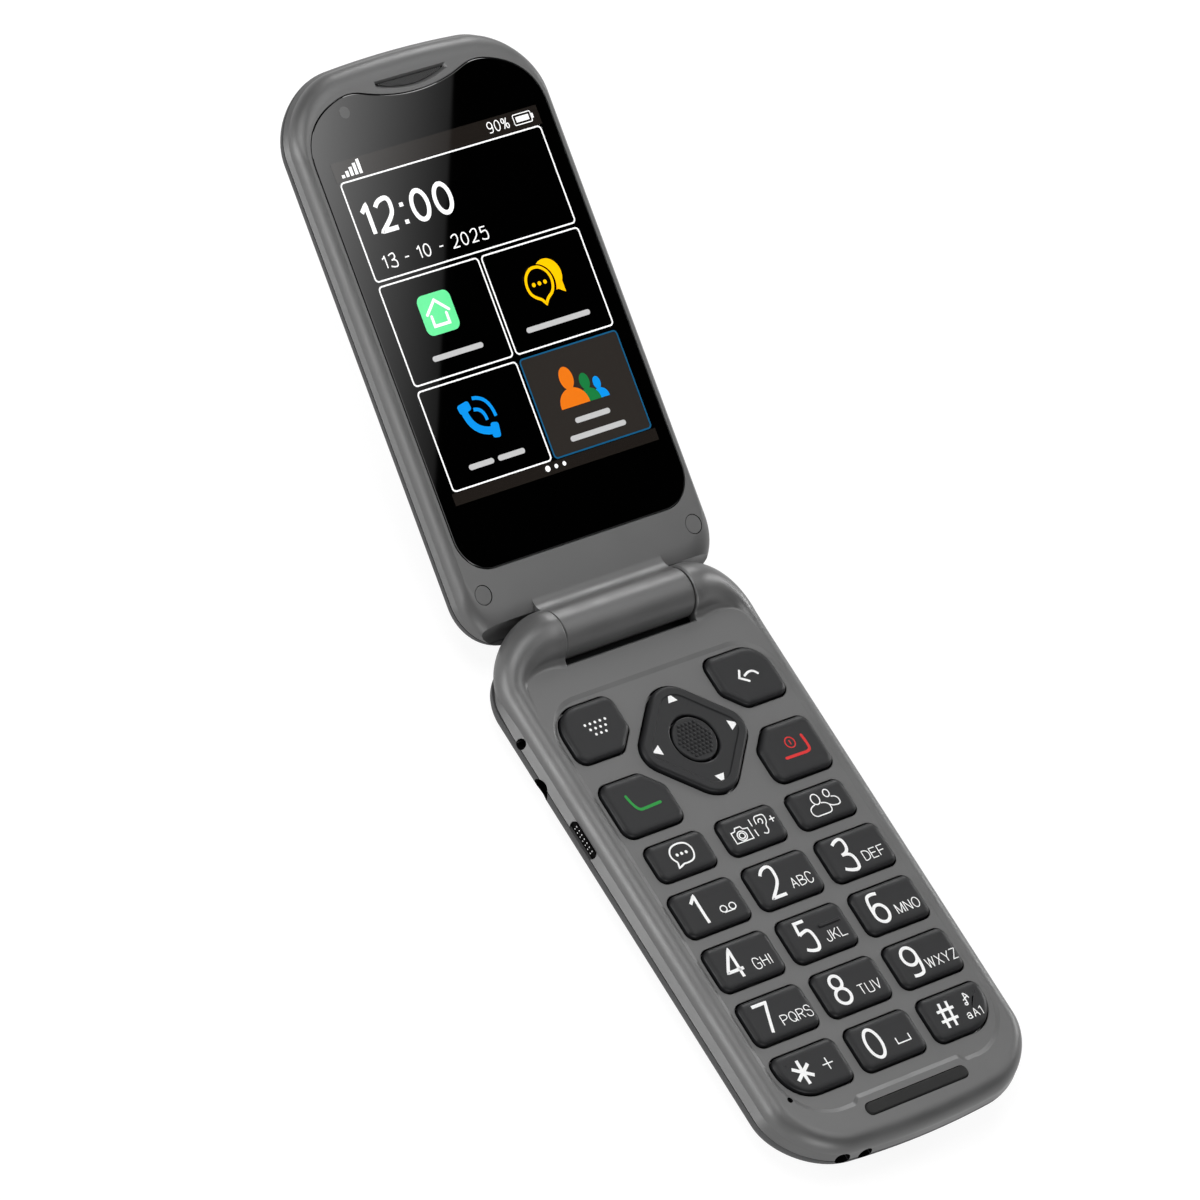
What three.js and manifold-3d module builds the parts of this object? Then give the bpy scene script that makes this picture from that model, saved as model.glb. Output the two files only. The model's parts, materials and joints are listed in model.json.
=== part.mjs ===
// A senior clamshell phone, open as it stands on its back. Millimetres, +Z up, +Y towards the hinge.
// The origin is the middle of the base's flat back.
import * as THREE from 'three';
import { mergeVertices } from 'three/addons/utils/BufferGeometryUtils.js';
import Module from 'manifold-3d';

const wasm = await Module();
wasm.setup();

// Whole phone
const baseWidth = 55.2; // across the parting line
const baseReach = 97.55; // hinge axis to the keypad end
const rimTop = 9.65; // back face to the crest of the rim
const keyRise = 0.6; // key tops above the crest of the rim
const seamHeight = 5.45; // back face to the parting line of the base
const lidWidth = 53.7;
const lidReach = 97.32; // hinge axis to the lid's far end
const lidDepth = 7.2;
const lidSeamDepth = 3.3; // inner face to the parting line of the lid
const openAngle = THREE.MathUtils.degToRad(160.77);

// Hinge
const knuckleRadius = 4.45;
const barrelRadius = 4.2;
const barrelHalfLength = 13.6;
const barrelEndGap = 0.3;
const pocketGap = 0.4;
const axisAboveRim = 0.05;
const lidFaceDrop = 1.06; // hinge axis to the lid's inner face
const hingeY = (baseReach - knuckleRadius) / 2;
const hingeZ = rimTop + axisAboveRim;
const pocketHalfLength = barrelHalfLength + barrelEndGap;
const pocketRadius = barrelRadius + pocketGap;
const keypadEnd = hingeY - baseReach;

// Walls and clearances
const wall = 1.3;
const seamGap = 0.2;
const fitGap = 0.3;
const overrun = 2;
const farOverrun = 60;

// Base shell form
const rimRadius = 2.73;
const bandReach = 0.77; // how far the side band slopes outwards below the rim
const keypadBandReach = 0.3; // the same at the keypad end
const bandInset = 0.06;
const keypadCorner = 12.6;
const keypadCrown = 2.2;
const rearReach = 0.25; // rear wall behind the hinge axis
const rearCorner = 9;
const backRounding = 9.1;
const rearRounding = 4;
const shoulderCorner = 11.4;
const shoulderCrown = 0.8;
const shoulderRun = 5; // straight part of the shoulder roll along the side
const shoulderSink = 0.15;
const shoulderStartShare = 0.1; // how far the swelling has come where the corner starts
const baseHalf = baseWidth / 2;
const coverBottom = seamHeight + seamGap / 2;
const shellTop = seamHeight - seamGap / 2;
const rearEnd = hingeY + rearReach;

// Tray that the keys stand in
const trayDepth = 0.24;
const trayBevel = 0.76; // width of the sloped edge around the tray floor
const trayInset = 4.38;
const trayKeypadInset = 8;
const trayTongue = 0.9; // how far the edge steps in above the rubber bar
const trayTongueHalf = 11.2;
const trayCorner = 9;
const trayRearCorner = 7;
const trayRearFromAxis = 11.46;
const trayPlate = 1.2;
const trayFloor = rimTop - trayDepth;
const plateBottom = trayFloor - trayPlate;
const trayHalf = baseHalf - trayInset;
const trayLow = keypadEnd + trayKeypadInset;
const trayHigh = hingeY - trayRearFromAxis;

// Keys. Seven rows fill the tray's length, and each row takes its share of what the webs leave.
const keySideMargin = 0.68;
const keyKeypadMargin = 3.08;
const keyRearMargin = 0.7;
const keyWebX = 1.84;
const keyWebY = 1.92;
const functionSideMargin = 1.92;
const functionWebX = 2.5;
const callWebY = 1.8;
const softWebY = 3.8;
const rowShares = { number: 0.136, functions: 0.115, side: 0.1705 };
const keyCorner = 1.8;
const cornerKeyCorner = 6;
const padOverlap = 2.2; // the pad's corners reach past the side keys' height
const padWeb = 1.77;
const padCorner = 4.1;
const padTipCorner = 5.5;
const padBand = 4.81; // from the middle key to the pad's straight edges
const padRockGap = 0.3;
const sideKeyTuck = 3; // how far the side keys reach in beside the pad's corners
const softOuterCorner = 5;
const sideKeyCorner = 2.2;
const keyGap = 0.3;
const keyEdge = 0.45;
const keyFlange = 0.5;
const keyFlangeThickness = 0.6;
const keyTravel = 0.35;
const travelClearance = 0.08;
const collarWidth = 0.5;
const collarHeight = 0.65;
const keyPlane = rimTop + keyRise;
const flangeTop = plateBottom - travelClearance;
const flangeBottom = flangeTop - keyFlangeThickness;
const keyOuter = trayHalf - keySideMargin;
const functionOuter = trayHalf - functionSideMargin;
const rowsLow = trayLow + keyKeypadMargin;
const rowsHigh = trayHigh - keyRearMargin;
const numberRowCount = 4;
const rowsLength = rowsHigh - rowsLow - (numberRowCount * keyWebY + callWebY + softWebY);
const numberWidth = (2 * keyOuter - 2 * keyWebX) / 3;
const numberHeight = rowsLength * rowShares.number;
const functionWidth = (2 * functionOuter - 2 * functionWebX) / 3;
const functionHeight = rowsLength * rowShares.functions;
const sideKeyHeight = rowsLength * rowShares.side;
const functionY = rowsLow + numberRowCount * (numberHeight + keyWebY) + functionHeight / 2;
const callY = functionY + functionHeight / 2 + callWebY + sideKeyHeight / 2;
const softY = callY + sideKeyHeight + softWebY;
const padHalf = sideKeyHeight + padOverlap;
const okRadius = padHalf / Math.SQRT2 - padBand;
const sideKeyInner = padHalf - sideKeyTuck;
const sideKeyWidth = keyOuter - sideKeyInner;
const sideKeyCut = padHalf + padWeb * Math.SQRT2 - sideKeyInner - softWebY / 2;

// Boards and battery
const boardThickness = 0.6;
const domeThickness = 0.2;
const layerGap = 0.1;
const domeTop = flangeBottom - keyTravel - travelClearance;
const keypadBoardTop = domeTop - domeThickness - layerGap;
const keypadBoardGap = 3.7;
const keypadBoardHalfWidth = baseHalf - wall - keypadBoardGap;
const floorThickness = 1.9;
const floorCornerShares = [0.5, 0.25]; // of the back rounding, at the floor and half way up
const coverThickness = 1.1;
const coverSideGap = 7;
const coverHalfWidth = baseHalf - coverSideGap;
const coverRearFromAxis = 21;
const coverLowFromEnd = 5.8;
const batterySideGap = 8.6;
const batteryWidth = baseWidth - 2 * batterySideGap;
const batteryBottom = 1.4;
const batteryFromEnd = 10.6;
const batteryBoardGap = 4.65;
const mainBoardThickness = 0.8;
const mainBoardSideGap = 8.6;
const mainBoardWidth = baseWidth - 2 * mainBoardSideGap;
const mainBoardLength = 22;
const mainBoardRear = hingeY - pocketRadius - wall - fitGap * 2;
const batteryRear = mainBoardRear - mainBoardLength - batteryBoardGap;
const chipHeight = 0.5;
const chipSize = 8;
const chipPitch = 13;

// Loudspeaker and vibration motor
const speakerFromAxis = 12.5;
const speakerShift = -6;
const speakerSlotCount = 5;
const speakerSlotPitch = 2.2;
const speakerSlotWidth = 0.9;
const speakerSlotLength = 5;
const speakerWidth = 15;
const speakerLength = 9;
const speakerThickness = 1.5;
const speakerY = hingeY - speakerFromAxis;
const motorRadius = 4;
const motorThickness = 1.4;
const motorShift = 11;

// Openings in the base's sides
const portLength = 6.7;
const portHeight = 1.3;
const portDepth = 4;
const portWall = 0.3;
const portFromAxis = 32.7;
const portRise = 0.75; // above the parting line
const jackRadius = 1.75;
const jackCollar = 0.3;
const jackFromAxis = 21.65;
const jackRise = -1.35;
const jackInset = 2.6;
const jackDepth = 4.6;
const jackBlockLength = 7;
const jackBlockHeight = 2.4;
const sideHoleRadius = 0.9;
const sideHoleFromAxis = 14.05;
const sideHoleRise = 0.5;
const contactRadius = 1.2;
const contactPitch = 4.4;
const contactShift = -14.8;
const contactDepth = 3;
const contactRise = 0.4;
const micRadius = 0.5;
const micSideInset = 5;
const micShift = micSideInset - baseHalf;
const micFromEnd = 12.05;

// Rubber bar under the keys
const barLength = 21.6;
const barWidth = 2.1;
const barFromEnd = 5.85;
const barDepth = 1.2;
const barProud = 0.25;

// Screws
const screwHeadRadius = 1.5;
const screwHeadHeight = 0.9;
const screwShankRadius = 0.75;
const screwLength = 4.4;
const screwBossRadius = 2.1;
const screwClearance = 0.2;
const screwRearFromAxis = 8.2;
const screwRearSideInset = 9.4;
const screwRearShift = baseHalf - screwRearSideInset;
const screwKeypadFromEnd = 8;
const screwKeypadSideInset = 10;
const screwKeypadShift = baseHalf - screwKeypadSideInset;
const screwBottom = 1.3;
const bossFloor = 1.4;

// Lid
const lidFarCorner = 13;
const lidFarCrown = 1.8;
const lidHingeCorner = 8.6;
const lidRimRadius = 2.7;
const lidRimStart = THREE.MathUtils.degToRad(30); // slope of the rim at the crisp edge of the face
const lidFarRim = 3.55; // how far the rim rounds at the far end, where it starts flat
const lidBandReach = 0.5;
const lidFaceEnd = 7.2; // hinge axis to where the flat inner face ends
const lidBackRounding = 6.65;
const lidHingeRounding = 5;
const lidHingeEnd = 1.3;
const lidPlate = 1.9;
const lidCavityStart = 12.5;
const lidKnuckleGap = 0.4;
const neckRadius = 2.7;
const glassSideMargin = 2.55;
const glassFromAxis = 13.27;
const glassFarMargin = 5.15; // the glass's far edge to the lid's far end
const glassWidth = lidWidth - 2 * glassSideMargin;
const glassLength = lidReach - glassFromAxis - glassFarMargin;
const glassThickness = 0.85;
const glassGap = 0.2;
const screenSideMargin = 2.7;
const screenLowMargin = 11.1;
const screenFarMargin = 10.2;
const screenWidth = glassWidth - 2 * screenSideMargin;
const screenHeight = glassLength - screenLowMargin - screenFarMargin;
const screenFromAxis = glassFromAxis + screenLowMargin + screenHeight / 2;
const glassBelow = screenHeight / 2 + screenLowMargin;
const glassAbove = screenHeight / 2 + screenFarMargin;
const glassShoulderDrop = 1.8;
const glassShoulder = glassAbove - glassShoulderDrop;
const glassDip = 2.6;
const glassPeakInset = 11.8; // the glass's side to the peak of its far edge
const glassPeakShift = glassWidth / 2 - glassPeakInset;
const glassCorner = 6;
const glassFarCorner = 10.4;
const displayMargin = 1.9;
const displayThickness = 1.6;
const lidBoardSideGap = 6.85;
const lidBoardWidth = lidWidth - 2 * lidBoardSideGap;
const lidBoardEndGaps = 16.9;
const lidBoardLength = glassLength - lidBoardEndGaps;
const earPastGlass = 0.15;
const earRise = glassAbove + earPastGlass; // screen centre to the straight edge of the earpiece opening
const earLength = 14.1;
const earHeight = 1.5;
const earEnd = 0.4; // height of the opening's blunt ends
const earGrilleDepth = 0.45;
const earGrilleThickness = 0.5;
const earSpeakerLength = 13;
const earSpeakerWidth = 4;
const earSpeakerThickness = 1.5;
const sensorRadius = 1;
const sensorSideInset = 9.2;
const sensorFarInset = 2.9;
const sensorShift = sensorSideInset - glassWidth / 2;
const sensorRise = glassAbove - sensorFarInset;
const sensorThickness = 0.7;
const plugRadius = 1.58;
const plugThickness = 0.7;
const plugGap = 0.12;
const plugSideInset = 4.45;
const plugBelowGlass = 3.6;
const plugShift = lidWidth / 2 - plugSideInset;
const plugDrop = glassBelow + plugBelowGlass;
const lidScrewLength = 4.2;
const cameraRadius = 3.4;
const cameraFarInset = 12;
const cameraRise = glassAbove - cameraFarInset;
const cameraRing = 1.0;
const cameraLensThickness = 0.8;
const cameraModuleSize = 7.6;
const flashRadius = 1.4;
const flashShift = 8;
const lidFace = -lidFaceDrop;
const lidBack = lidFace - lidDepth;
const lidFrameBottom = lidFace - lidSeamDepth + seamGap / 2;
const lidShellTop = lidFace - lidSeamDepth - seamGap / 2;
const lidRimDepth = lidRimRadius * Math.cos(lidRimStart);
const lidFaceInset = lidBandReach + lidRimRadius * (1 - Math.sin(lidRimStart));

// Hinge inserts
const cartridgeRadius = 2.75;
const cartridgeLength = 14.4;
const camHeadRadius = 2.4;
const camHeadLength = 4.1;
const camShaftRadius = 1.3;
const camShaftLength = 8;
const bushTubeRadius = 2.2;
const bushBore = 1.5;
const bushTubeLength = 5;
const flexRadius = 1.2;
const flexWall = 0.2;
const flexLength = 12;
const socketRadius = camHeadRadius + fitGap;
const socketDepth = camHeadLength + fitGap;

// Curve resolution
const cornerSteps = 7;
const endSteps = 4;
const keyCornerSteps = 3;
const rimSteps = 4;
const shoulderSteps = 9;
const neckSteps = 6;
const earSteps = 8;
const glassSteps = 6;
const roundSegments = 28;
const smallSegments = 12;
const backShares = [1, 0.75, 0.5, 0.3, 0.14, 0]; // of a right angle, from the back face to the parting line

// Solids and meshes

function solidOf(geometry) {
  const shape = geometry.clone();
  shape.deleteAttribute('normal');
  shape.deleteAttribute('uv');
  const merged = mergeVertices(shape, 1e-4);
  const mesh = new wasm.Mesh({
    numProp: 3,
    vertProperties: new Float32Array(merged.getAttribute('position').array),
    triVerts: new Uint32Array(merged.index.array),
  });
  return new wasm.Manifold(mesh);
}

function geometryOf(solid) {
  const mesh = solid.getMesh();
  const geometry = new THREE.BufferGeometry();
  geometry.setAttribute('position', new THREE.BufferAttribute(mesh.vertProperties, 3));
  geometry.setIndex(new THREE.BufferAttribute(mesh.triVerts, 1));
  geometry.computeVertexNormals();
  return geometry;
}

function joined(solids) {
  return solids.reduce((whole, solid) => whole.add(solid));
}

function cut(solid, tools) {
  return tools.reduce((whole, tool) => whole.subtract(tool), solid);
}

function block([x0, y0, z0], [x1, y1, z1]) {
  const geometry = new THREE.BoxGeometry(x1 - x0, y1 - y0, z1 - z0);
  geometry.translate((x0 + x1) / 2, (y0 + y1) / 2, (z0 + z1) / 2);
  return solidOf(geometry);
}

function uprightRod(radius, x, y, z0, z1, segments = smallSegments) {
  const geometry = new THREE.CylinderGeometry(radius, radius, z1 - z0, segments);
  geometry.rotateX(Math.PI / 2);
  geometry.translate(x, y, (z0 + z1) / 2);
  return solidOf(geometry);
}

function crossRod(radius, x0, x1, y, z, segments = roundSegments) {
  const geometry = new THREE.CylinderGeometry(radius, radius, x1 - x0, segments);
  geometry.rotateZ(Math.PI / 2);
  geometry.translate((x0 + x1) / 2, y, z);
  return solidOf(geometry);
}

function extruded(points, z0, z1) {
  const geometry = new THREE.ExtrudeGeometry(new THREE.Shape(points), { depth: z1 - z0, bevelEnabled: false });
  geometry.translate(0, 0, z0);
  return solidOf(geometry);
}

// Rings of points run anticlockwise seen from above, the lowest ring first.
function lofted(rings) {
  const count = rings[0].length;
  const positions = rings.flat().flatMap((p) => [p.x, p.y, p.z]);
  const faces = [];
  for (let ring = 0; ring < rings.length - 1; ring++) {
    for (let i = 0; i < count; i++) {
      const a = ring * count + i;
      const b = ring * count + ((i + 1) % count);
      faces.push(a, b, b + count, a, b + count, a + count);
    }
  }
  for (const [ring, turn] of [[0, -1], [rings.length - 1, 1]]) {
    const middle = positions.length / 3;
    const centre = rings[ring].reduce((sum, p) => sum.add(p), new THREE.Vector3()).divideScalar(count);
    positions.push(centre.x, centre.y, centre.z);
    for (let i = 0; i < count; i++) {
      const a = ring * count + i;
      const b = ring * count + ((i + 1) % count);
      faces.push(...(turn > 0 ? [middle, a, b] : [middle, b, a]));
    }
  }
  const geometry = new THREE.BufferGeometry();
  geometry.setAttribute('position', new THREE.Float32BufferAttribute(positions, 3));
  geometry.setIndex(faces);
  return solidOf(geometry);
}

// Outlines

// A rounded rectangle whose two ends bow outwards by a crown.
function capsuleOutline({ half, low, high, lowCorner, highCorner, lowCrown = 0, highCrown = 0 }, z) {
  const points = [];
  const corners = [
    { side: 1, end: -1, level: low, radius: lowCorner, crown: lowCrown },
    { side: 1, end: 1, level: high, radius: highCorner, crown: highCrown },
    { side: -1, end: 1, level: high, radius: highCorner, crown: highCrown },
    { side: -1, end: -1, level: low, radius: lowCorner, crown: lowCrown },
  ];
  const bowed = (x, depthShare, corner) =>
    corner.level - corner.end * (corner.radius * (1 - depthShare) + corner.crown * depthShare * (x / half) ** 2);
  for (const corner of corners) {
    const rising = corner.side * corner.end < 0;
    for (let step = 0; step <= cornerSteps; step++) {
      const share = rising ? step / cornerSteps : 1 - step / cornerSteps;
      const angle = (1 - share) * Math.PI / 2;
      const x = corner.side * (half - corner.radius * (1 - Math.cos(angle)));
      points.push(new THREE.Vector3(x, bowed(x, Math.sin(angle), corner), z));
    }
    if (!rising) {
      const edge = half - corner.radius;
      const from = corner.side * edge;
      for (let step = 1; step < endSteps; step++) {
        const x = from - 2 * from * step / endSteps;
        points.push(new THREE.Vector3(x, bowed(x, 1, corner), z));
      }
    }
  }
  return points;
}

// A convex polygon grown outwards, with each corner rounded.
function roundedPolygon(corners, radii, grow = 0, z = 0) {
  const count = corners.length;
  const edges = corners.map((p, i) => {
    const q = corners[(i + 1) % count];
    const along = new THREE.Vector2().subVectors(q, p).normalize();
    const out = new THREE.Vector2(along.y, -along.x);
    return { along, out, level: out.dot(p) + grow };
  });
  const points = [];
  corners.forEach((corner, i) => {
    const before = edges[(i + count - 1) % count];
    const after = edges[i];
    const radius = Math.max(radii[i] + grow, 0);
    const turn = before.along.cross(after.along);
    const x = ((before.level - radius) * after.out.y - (after.level - radius) * before.out.y) / turn;
    const y = ((after.level - radius) * before.out.x - (before.level - radius) * after.out.x) / turn;
    const start = Math.atan2(before.out.y, before.out.x);
    const bend = Math.acos(THREE.MathUtils.clamp(before.out.dot(after.out), -1, 1));
    for (let step = 0; step <= keyCornerSteps; step++) {
      const angle = start + bend * step / keyCornerSteps;
      points.push(new THREE.Vector3(x + radius * Math.cos(angle), y + radius * Math.sin(angle), z));
    }
  });
  return points;
}

function rectangleCorners(width, height) {
  return [[-width / 2, -height / 2], [width / 2, -height / 2], [width / 2, height / 2], [-width / 2, height / 2]]
    .map(([x, y]) => new THREE.Vector2(x, y));
}

function circlePoints(radius, z, segments = roundSegments) {
  return Array.from({ length: segments }, (_, i) => {
    const angle = 2 * Math.PI * i / segments;
    return new THREE.Vector3(radius * Math.cos(angle), radius * Math.sin(angle), z);
  });
}

function shifted(points, x, y, z = 0) {
  return points.map((p) => new THREE.Vector3(p.x + x, p.y + y, p.z + z));
}

// Base outlines at a given inset and height

function baseOutline(inset, z, rearInset = inset, keypadInset = inset) {
  return capsuleOutline({
    half: baseHalf - inset,
    low: keypadEnd + keypadInset,
    high: rearEnd - rearInset,
    lowCorner: keypadCorner - inset,
    highCorner: rearCorner - Math.min(rearInset, inset),
    lowCrown: keypadCrown,
  }, z);
}

function backRing(share) {
  const angle = share * Math.PI / 2;
  const inset = bandInset + backRounding * (1 - Math.cos(angle));
  const rearInset = rearRounding * (1 - Math.cos(angle));
  return baseOutline(inset, shellTop * (1 - Math.sin(angle)), rearInset);
}

function baseBackForm() {
  return lofted(backShares.map(backRing));
}

// Keys: the outline of each key's hole, its place and its name

function numberKeys() {
  const names = [
    ['key_star', 'key_0', 'key_hash'],
    ['key_7', 'key_8', 'key_9'],
    ['key_4', 'key_5', 'key_6'],
    ['key_1', 'key_2', 'key_3'],
  ];
  return names.flatMap((row, rowIndex) => row.map((name, column) => {
    const radii = [keyCorner, keyCorner, keyCorner, keyCorner];
    if (rowIndex === 0 && column === 0) radii[0] = cornerKeyCorner;
    if (rowIndex === 0 && column === 2) radii[1] = cornerKeyCorner;
    return {
      name,
      corners: rectangleCorners(numberWidth, numberHeight),
      radii,
      x: (column - 1) * (numberWidth + keyWebX),
      y: rowsLow + numberHeight / 2 + rowIndex * (numberHeight + keyWebY),
    };
  }));
}

function functionKeys() {
  const names = ['key_function_left', 'key_function_middle', 'key_function_right'];
  return names.map((name, column) => ({
    name,
    corners: rectangleCorners(functionWidth, functionHeight),
    radii: [keyCorner, keyCorner, keyCorner, keyCorner],
    x: (column - 1) * (functionWidth + functionWebX),
    y: functionY,
  }));
}

// A key beside the direction pad, with the corner next to the pad cut off.
function sideKey(name, side, y, cutAbove) {
  const [w, h] = [sideKeyWidth / 2, sideKeyHeight / 2];
  const corners = cutAbove
    ? [[-w, -h], [w, -h], [w, h - sideKeyCut], [w - sideKeyCut, h], [-w, h]]
    : [[-w, -h], [w - sideKeyCut, -h], [w, -h + sideKeyCut], [w, h], [-w, h]];
  const radii = new Array(corners.length).fill(sideKeyCorner);
  if (!cutAbove) radii[4] = softOuterCorner;
  const placed = corners.map(([cornerX, cornerY]) => new THREE.Vector2(-side * cornerX, cornerY));
  return {
    name,
    corners: side < 0 ? placed : placed.reverse(),
    radii: side < 0 ? radii : radii.reverse(),
    x: side * (sideKeyInner + w),
    y,
  };
}

function padKey() {
  return {
    name: 'direction_ring',
    corners: [[0, -padHalf], [padHalf, 0], [0, padHalf], [-padHalf, 0]].map(([x, y]) => new THREE.Vector2(x, y)),
    radii: [padTipCorner, padCorner, padTipCorner, padCorner],
    x: 0,
    y: (callY + softY) / 2,
  };
}

const plainKeys = [
  ...numberKeys(),
  ...functionKeys(),
  sideKey('key_call', -1, callY, true),
  sideKey('key_end', 1, callY, true),
  sideKey('key_soft_left', -1, softY, false),
  sideKey('key_soft_right', 1, softY, false),
];
const directionKey = padKey();

function keyRing(key, grow, z) {
  return shifted(roundedPolygon(key.corners, key.radii, grow, z), key.x, key.y);
}

function keyHole(key) {
  return lofted([keyRing(key, 0, plateBottom - overrun), keyRing(key, 0, rimTop + overrun)]);
}

function keyCap(key, top = flangeTop) {
  const flange = lofted([keyRing(key, keyFlange - keyGap, flangeBottom), keyRing(key, keyFlange - keyGap, top)]);
  const cap = lofted([
    keyRing(key, -keyGap, (flangeBottom + top) / 2),
    keyRing(key, -keyGap, keyPlane - keyEdge),
    keyRing(key, -keyGap - keyEdge / 3, keyPlane - keyEdge / 3),
    keyRing(key, -keyGap - keyEdge, keyPlane),
  ]);
  return flange.add(cap);
}

function directionRing() {
  const bore = uprightRod(
    okRadius + keyFlange + 2 * keyGap, directionKey.x, directionKey.y, 0, plateBottom + padRockGap, roundSegments,
  );
  const mouth = uprightRod(okRadius, directionKey.x, directionKey.y, 0, keyPlane + overrun, roundSegments);
  return cut(keyCap(directionKey, flangeTop - padRockGap), [bore, mouth]);
}

// A soft collar under the ring lets it rock both ways around the middle key.
function directionCollar() {
  const inner = okRadius + keyFlange - keyGap + travelClearance * 2;
  const bottom = flangeBottom - layerGap;
  const rod = (radius, z0, z1) => uprightRod(radius, directionKey.x, directionKey.y, z0, z1, roundSegments);
  return rod(inner + collarWidth, bottom, bottom + collarHeight).subtract(rod(inner, 0, keyPlane));
}

function okKey() {
  const at = (radius, z) => shifted(circlePoints(radius, z), directionKey.x, directionKey.y);
  const flange = lofted([at(okRadius + keyFlange - keyGap, flangeBottom), at(okRadius + keyFlange - keyGap, flangeTop)]);
  const cap = lofted([
    at(okRadius - keyGap, flangeBottom + keyFlangeThickness / 2),
    at(okRadius - keyGap, keyPlane - keyEdge),
    at(okRadius - keyGap - keyEdge, keyPlane),
  ]);
  return flange.add(cap);
}

// Base shells

// The rim swells into a round shoulder that turns the corner and ends beside the barrel.
function shoulderRoll(side) {
  const half = baseHalf - bandReach - shoulderSink;
  const stations = [];
  const steps = shoulderSteps;
  const cornerY = hingeY + knuckleRadius - shoulderCorner;
  const place = (x, y, outX, outY, share) => {
    const ease = share * share * (3 - 2 * share);
    const radius = rimRadius + (knuckleRadius - rimRadius) * ease;
    const height = rimTop - shoulderSink - rimRadius + (hingeZ - rimTop + shoulderSink + rimRadius) * ease;
    stations.push({ x: x - radius * outX, y: y - radius * outY, outX, outY, radius, height });
  };
  place(half, cornerY - shoulderRun, 1, 0, 0);
  for (let step = 0; step <= steps; step++) {
    const angle = Math.PI / 2 * step / steps;
    const x = half - shoulderCorner * (1 - Math.cos(angle));
    const y = cornerY + shoulderCorner * Math.sin(angle) - shoulderCrown * Math.sin(angle) * (1 - (step / steps) ** 2);
    place(x, y, Math.cos(angle), Math.sin(angle), shoulderStartShare + (1 - shoulderStartShare) * step / steps);
  }
  place(pocketHalfLength, hingeY + knuckleRadius, 0, 1, 1);
  const rings = stations.map((s) => Array.from({ length: roundSegments }, (_, i) => {
    const angle = 2 * Math.PI * i / roundSegments;
    const out = s.radius * Math.cos(angle);
    const up = s.radius * Math.sin(angle);
    return new THREE.Vector3(side * (s.x + out * s.outX), s.y + out * s.outY, s.height + up);
  }));
  return lofted(side > 0 ? rings.map((ring) => ring.reverse()) : rings);
}

function rimForm() {
  const rings = [baseOutline(bandInset, coverBottom)];
  for (let step = 0; step <= rimSteps; step++) {
    const angle = Math.PI / 2 * (1 - step / rimSteps);
    const arcInset = rimRadius * (1 - Math.sin(angle));
    const height = rimTop - rimRadius * (1 - Math.cos(angle));
    rings.push(baseOutline(bandReach + arcInset, height, bandReach + arcInset, keypadBandReach + arcInset));
  }
  return lofted(rings);
}

// The tray's edge slopes all round, and steps in above the rubber bar.
function trayCut() {
  const ring = (grow, z, low, half) => capsuleOutline({
    half: half + grow,
    low: low - grow,
    high: trayHigh + grow,
    lowCorner: trayCorner + grow,
    highCorner: trayRearCorner + grow,
  }, z);
  const pocket = (low, half) => lofted([
    ring(0, trayFloor, low, half),
    ring(trayBevel, rimTop, low, half),
    ring(trayBevel, rimTop + overrun, low, half),
  ]);
  const tongue = block(
    [-trayTongueHalf, trayLow - trayBevel - overrun, 0],
    [trayTongueHalf, trayLow + trayCorner, rimTop + farOverrun],
  );
  return pocket(trayLow, trayHalf).subtract(tongue).add(pocket(trayLow + trayTongue, trayHalf));
}

function barrelPocket() {
  const round = crossRod(pocketRadius, -pocketHalfLength, pocketHalfLength, hingeY, hingeZ);
  const behind = block(
    [-pocketHalfLength, hingeY, hingeZ - pocketRadius],
    [pocketHalfLength, hingeY + farOverrun, hingeZ + farOverrun],
  );
  const neckRoom = block(
    [-pocketHalfLength, hingeY - barrelRadius - neckRadius / 2 - layerGap, hingeZ - neckRadius + lidFaceDrop - pocketGap],
    [pocketHalfLength, hingeY + overrun, hingeZ + farOverrun],
  );
  return joined([round, behind, neckRoom]);
}

// The space that the closed lid takes up, with a clearance. It leaves the round knuckles whole.
function closedLidSpace() {
  const rings = lidFrameRings(fitGap);
  const deep = rings[0].map((p) => p.clone().setZ(lidBack - farOverrun));
  const lid = geometryOf(lofted([deep, ...rings]));
  lid.rotateX(Math.PI);
  lid.translate(0, hingeY, hingeZ - fitGap);
  const knuckles = crossRod(knuckleRadius + layerGap, -farOverrun, farOverrun, hingeY, hingeZ);
  return solidOf(lid).subtract(knuckles);
}

function portSlot(grow, from, to) {
  const points = roundedPolygon(rectangleCorners(portLength, portHeight), new Array(4).fill(portHeight / 2), grow);
  const geometry = new THREE.ExtrudeGeometry(new THREE.Shape(points), { depth: to - from, bevelEnabled: false });
  geometry.rotateX(Math.PI / 2);
  geometry.rotateZ(Math.PI / 2);
  geometry.translate(from, hingeY - portFromAxis, seamHeight + portRise);
  return solidOf(geometry);
}

function contactRod(radius, from, to) {
  return contactPlaces().map((x) => {
    const geometry = new THREE.CylinderGeometry(radius, radius, to - from, smallSegments);
    geometry.translate(x, keypadEnd + (from + to) / 2, seamHeight + contactRise);
    return solidOf(geometry);
  });
}

function sideOpenings() {
  const outside = -baseHalf - overrun;
  const jackY = hingeY - jackFromAxis;
  const jackZ = seamHeight + jackRise;
  const jackFrom = -baseHalf + jackInset - fitGap;
  const jackTo = -baseHalf + jackDepth + fitGap;
  const holeY = hingeY - sideHoleFromAxis;
  return [
    portSlot(layerGap, outside, -baseHalf + portDepth + fitGap),
    crossRod(jackRadius + layerGap, outside, jackTo, jackY, jackZ),
    crossRod(jackRadius + jackCollar + fitGap, jackFrom, jackTo, jackY, jackZ),
    crossRod(sideHoleRadius, outside, jackTo, holeY, seamHeight + sideHoleRise, smallSegments),
    ...contactRod(contactRadius + fitGap, -overrun, contactDepth),
  ];
}

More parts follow.
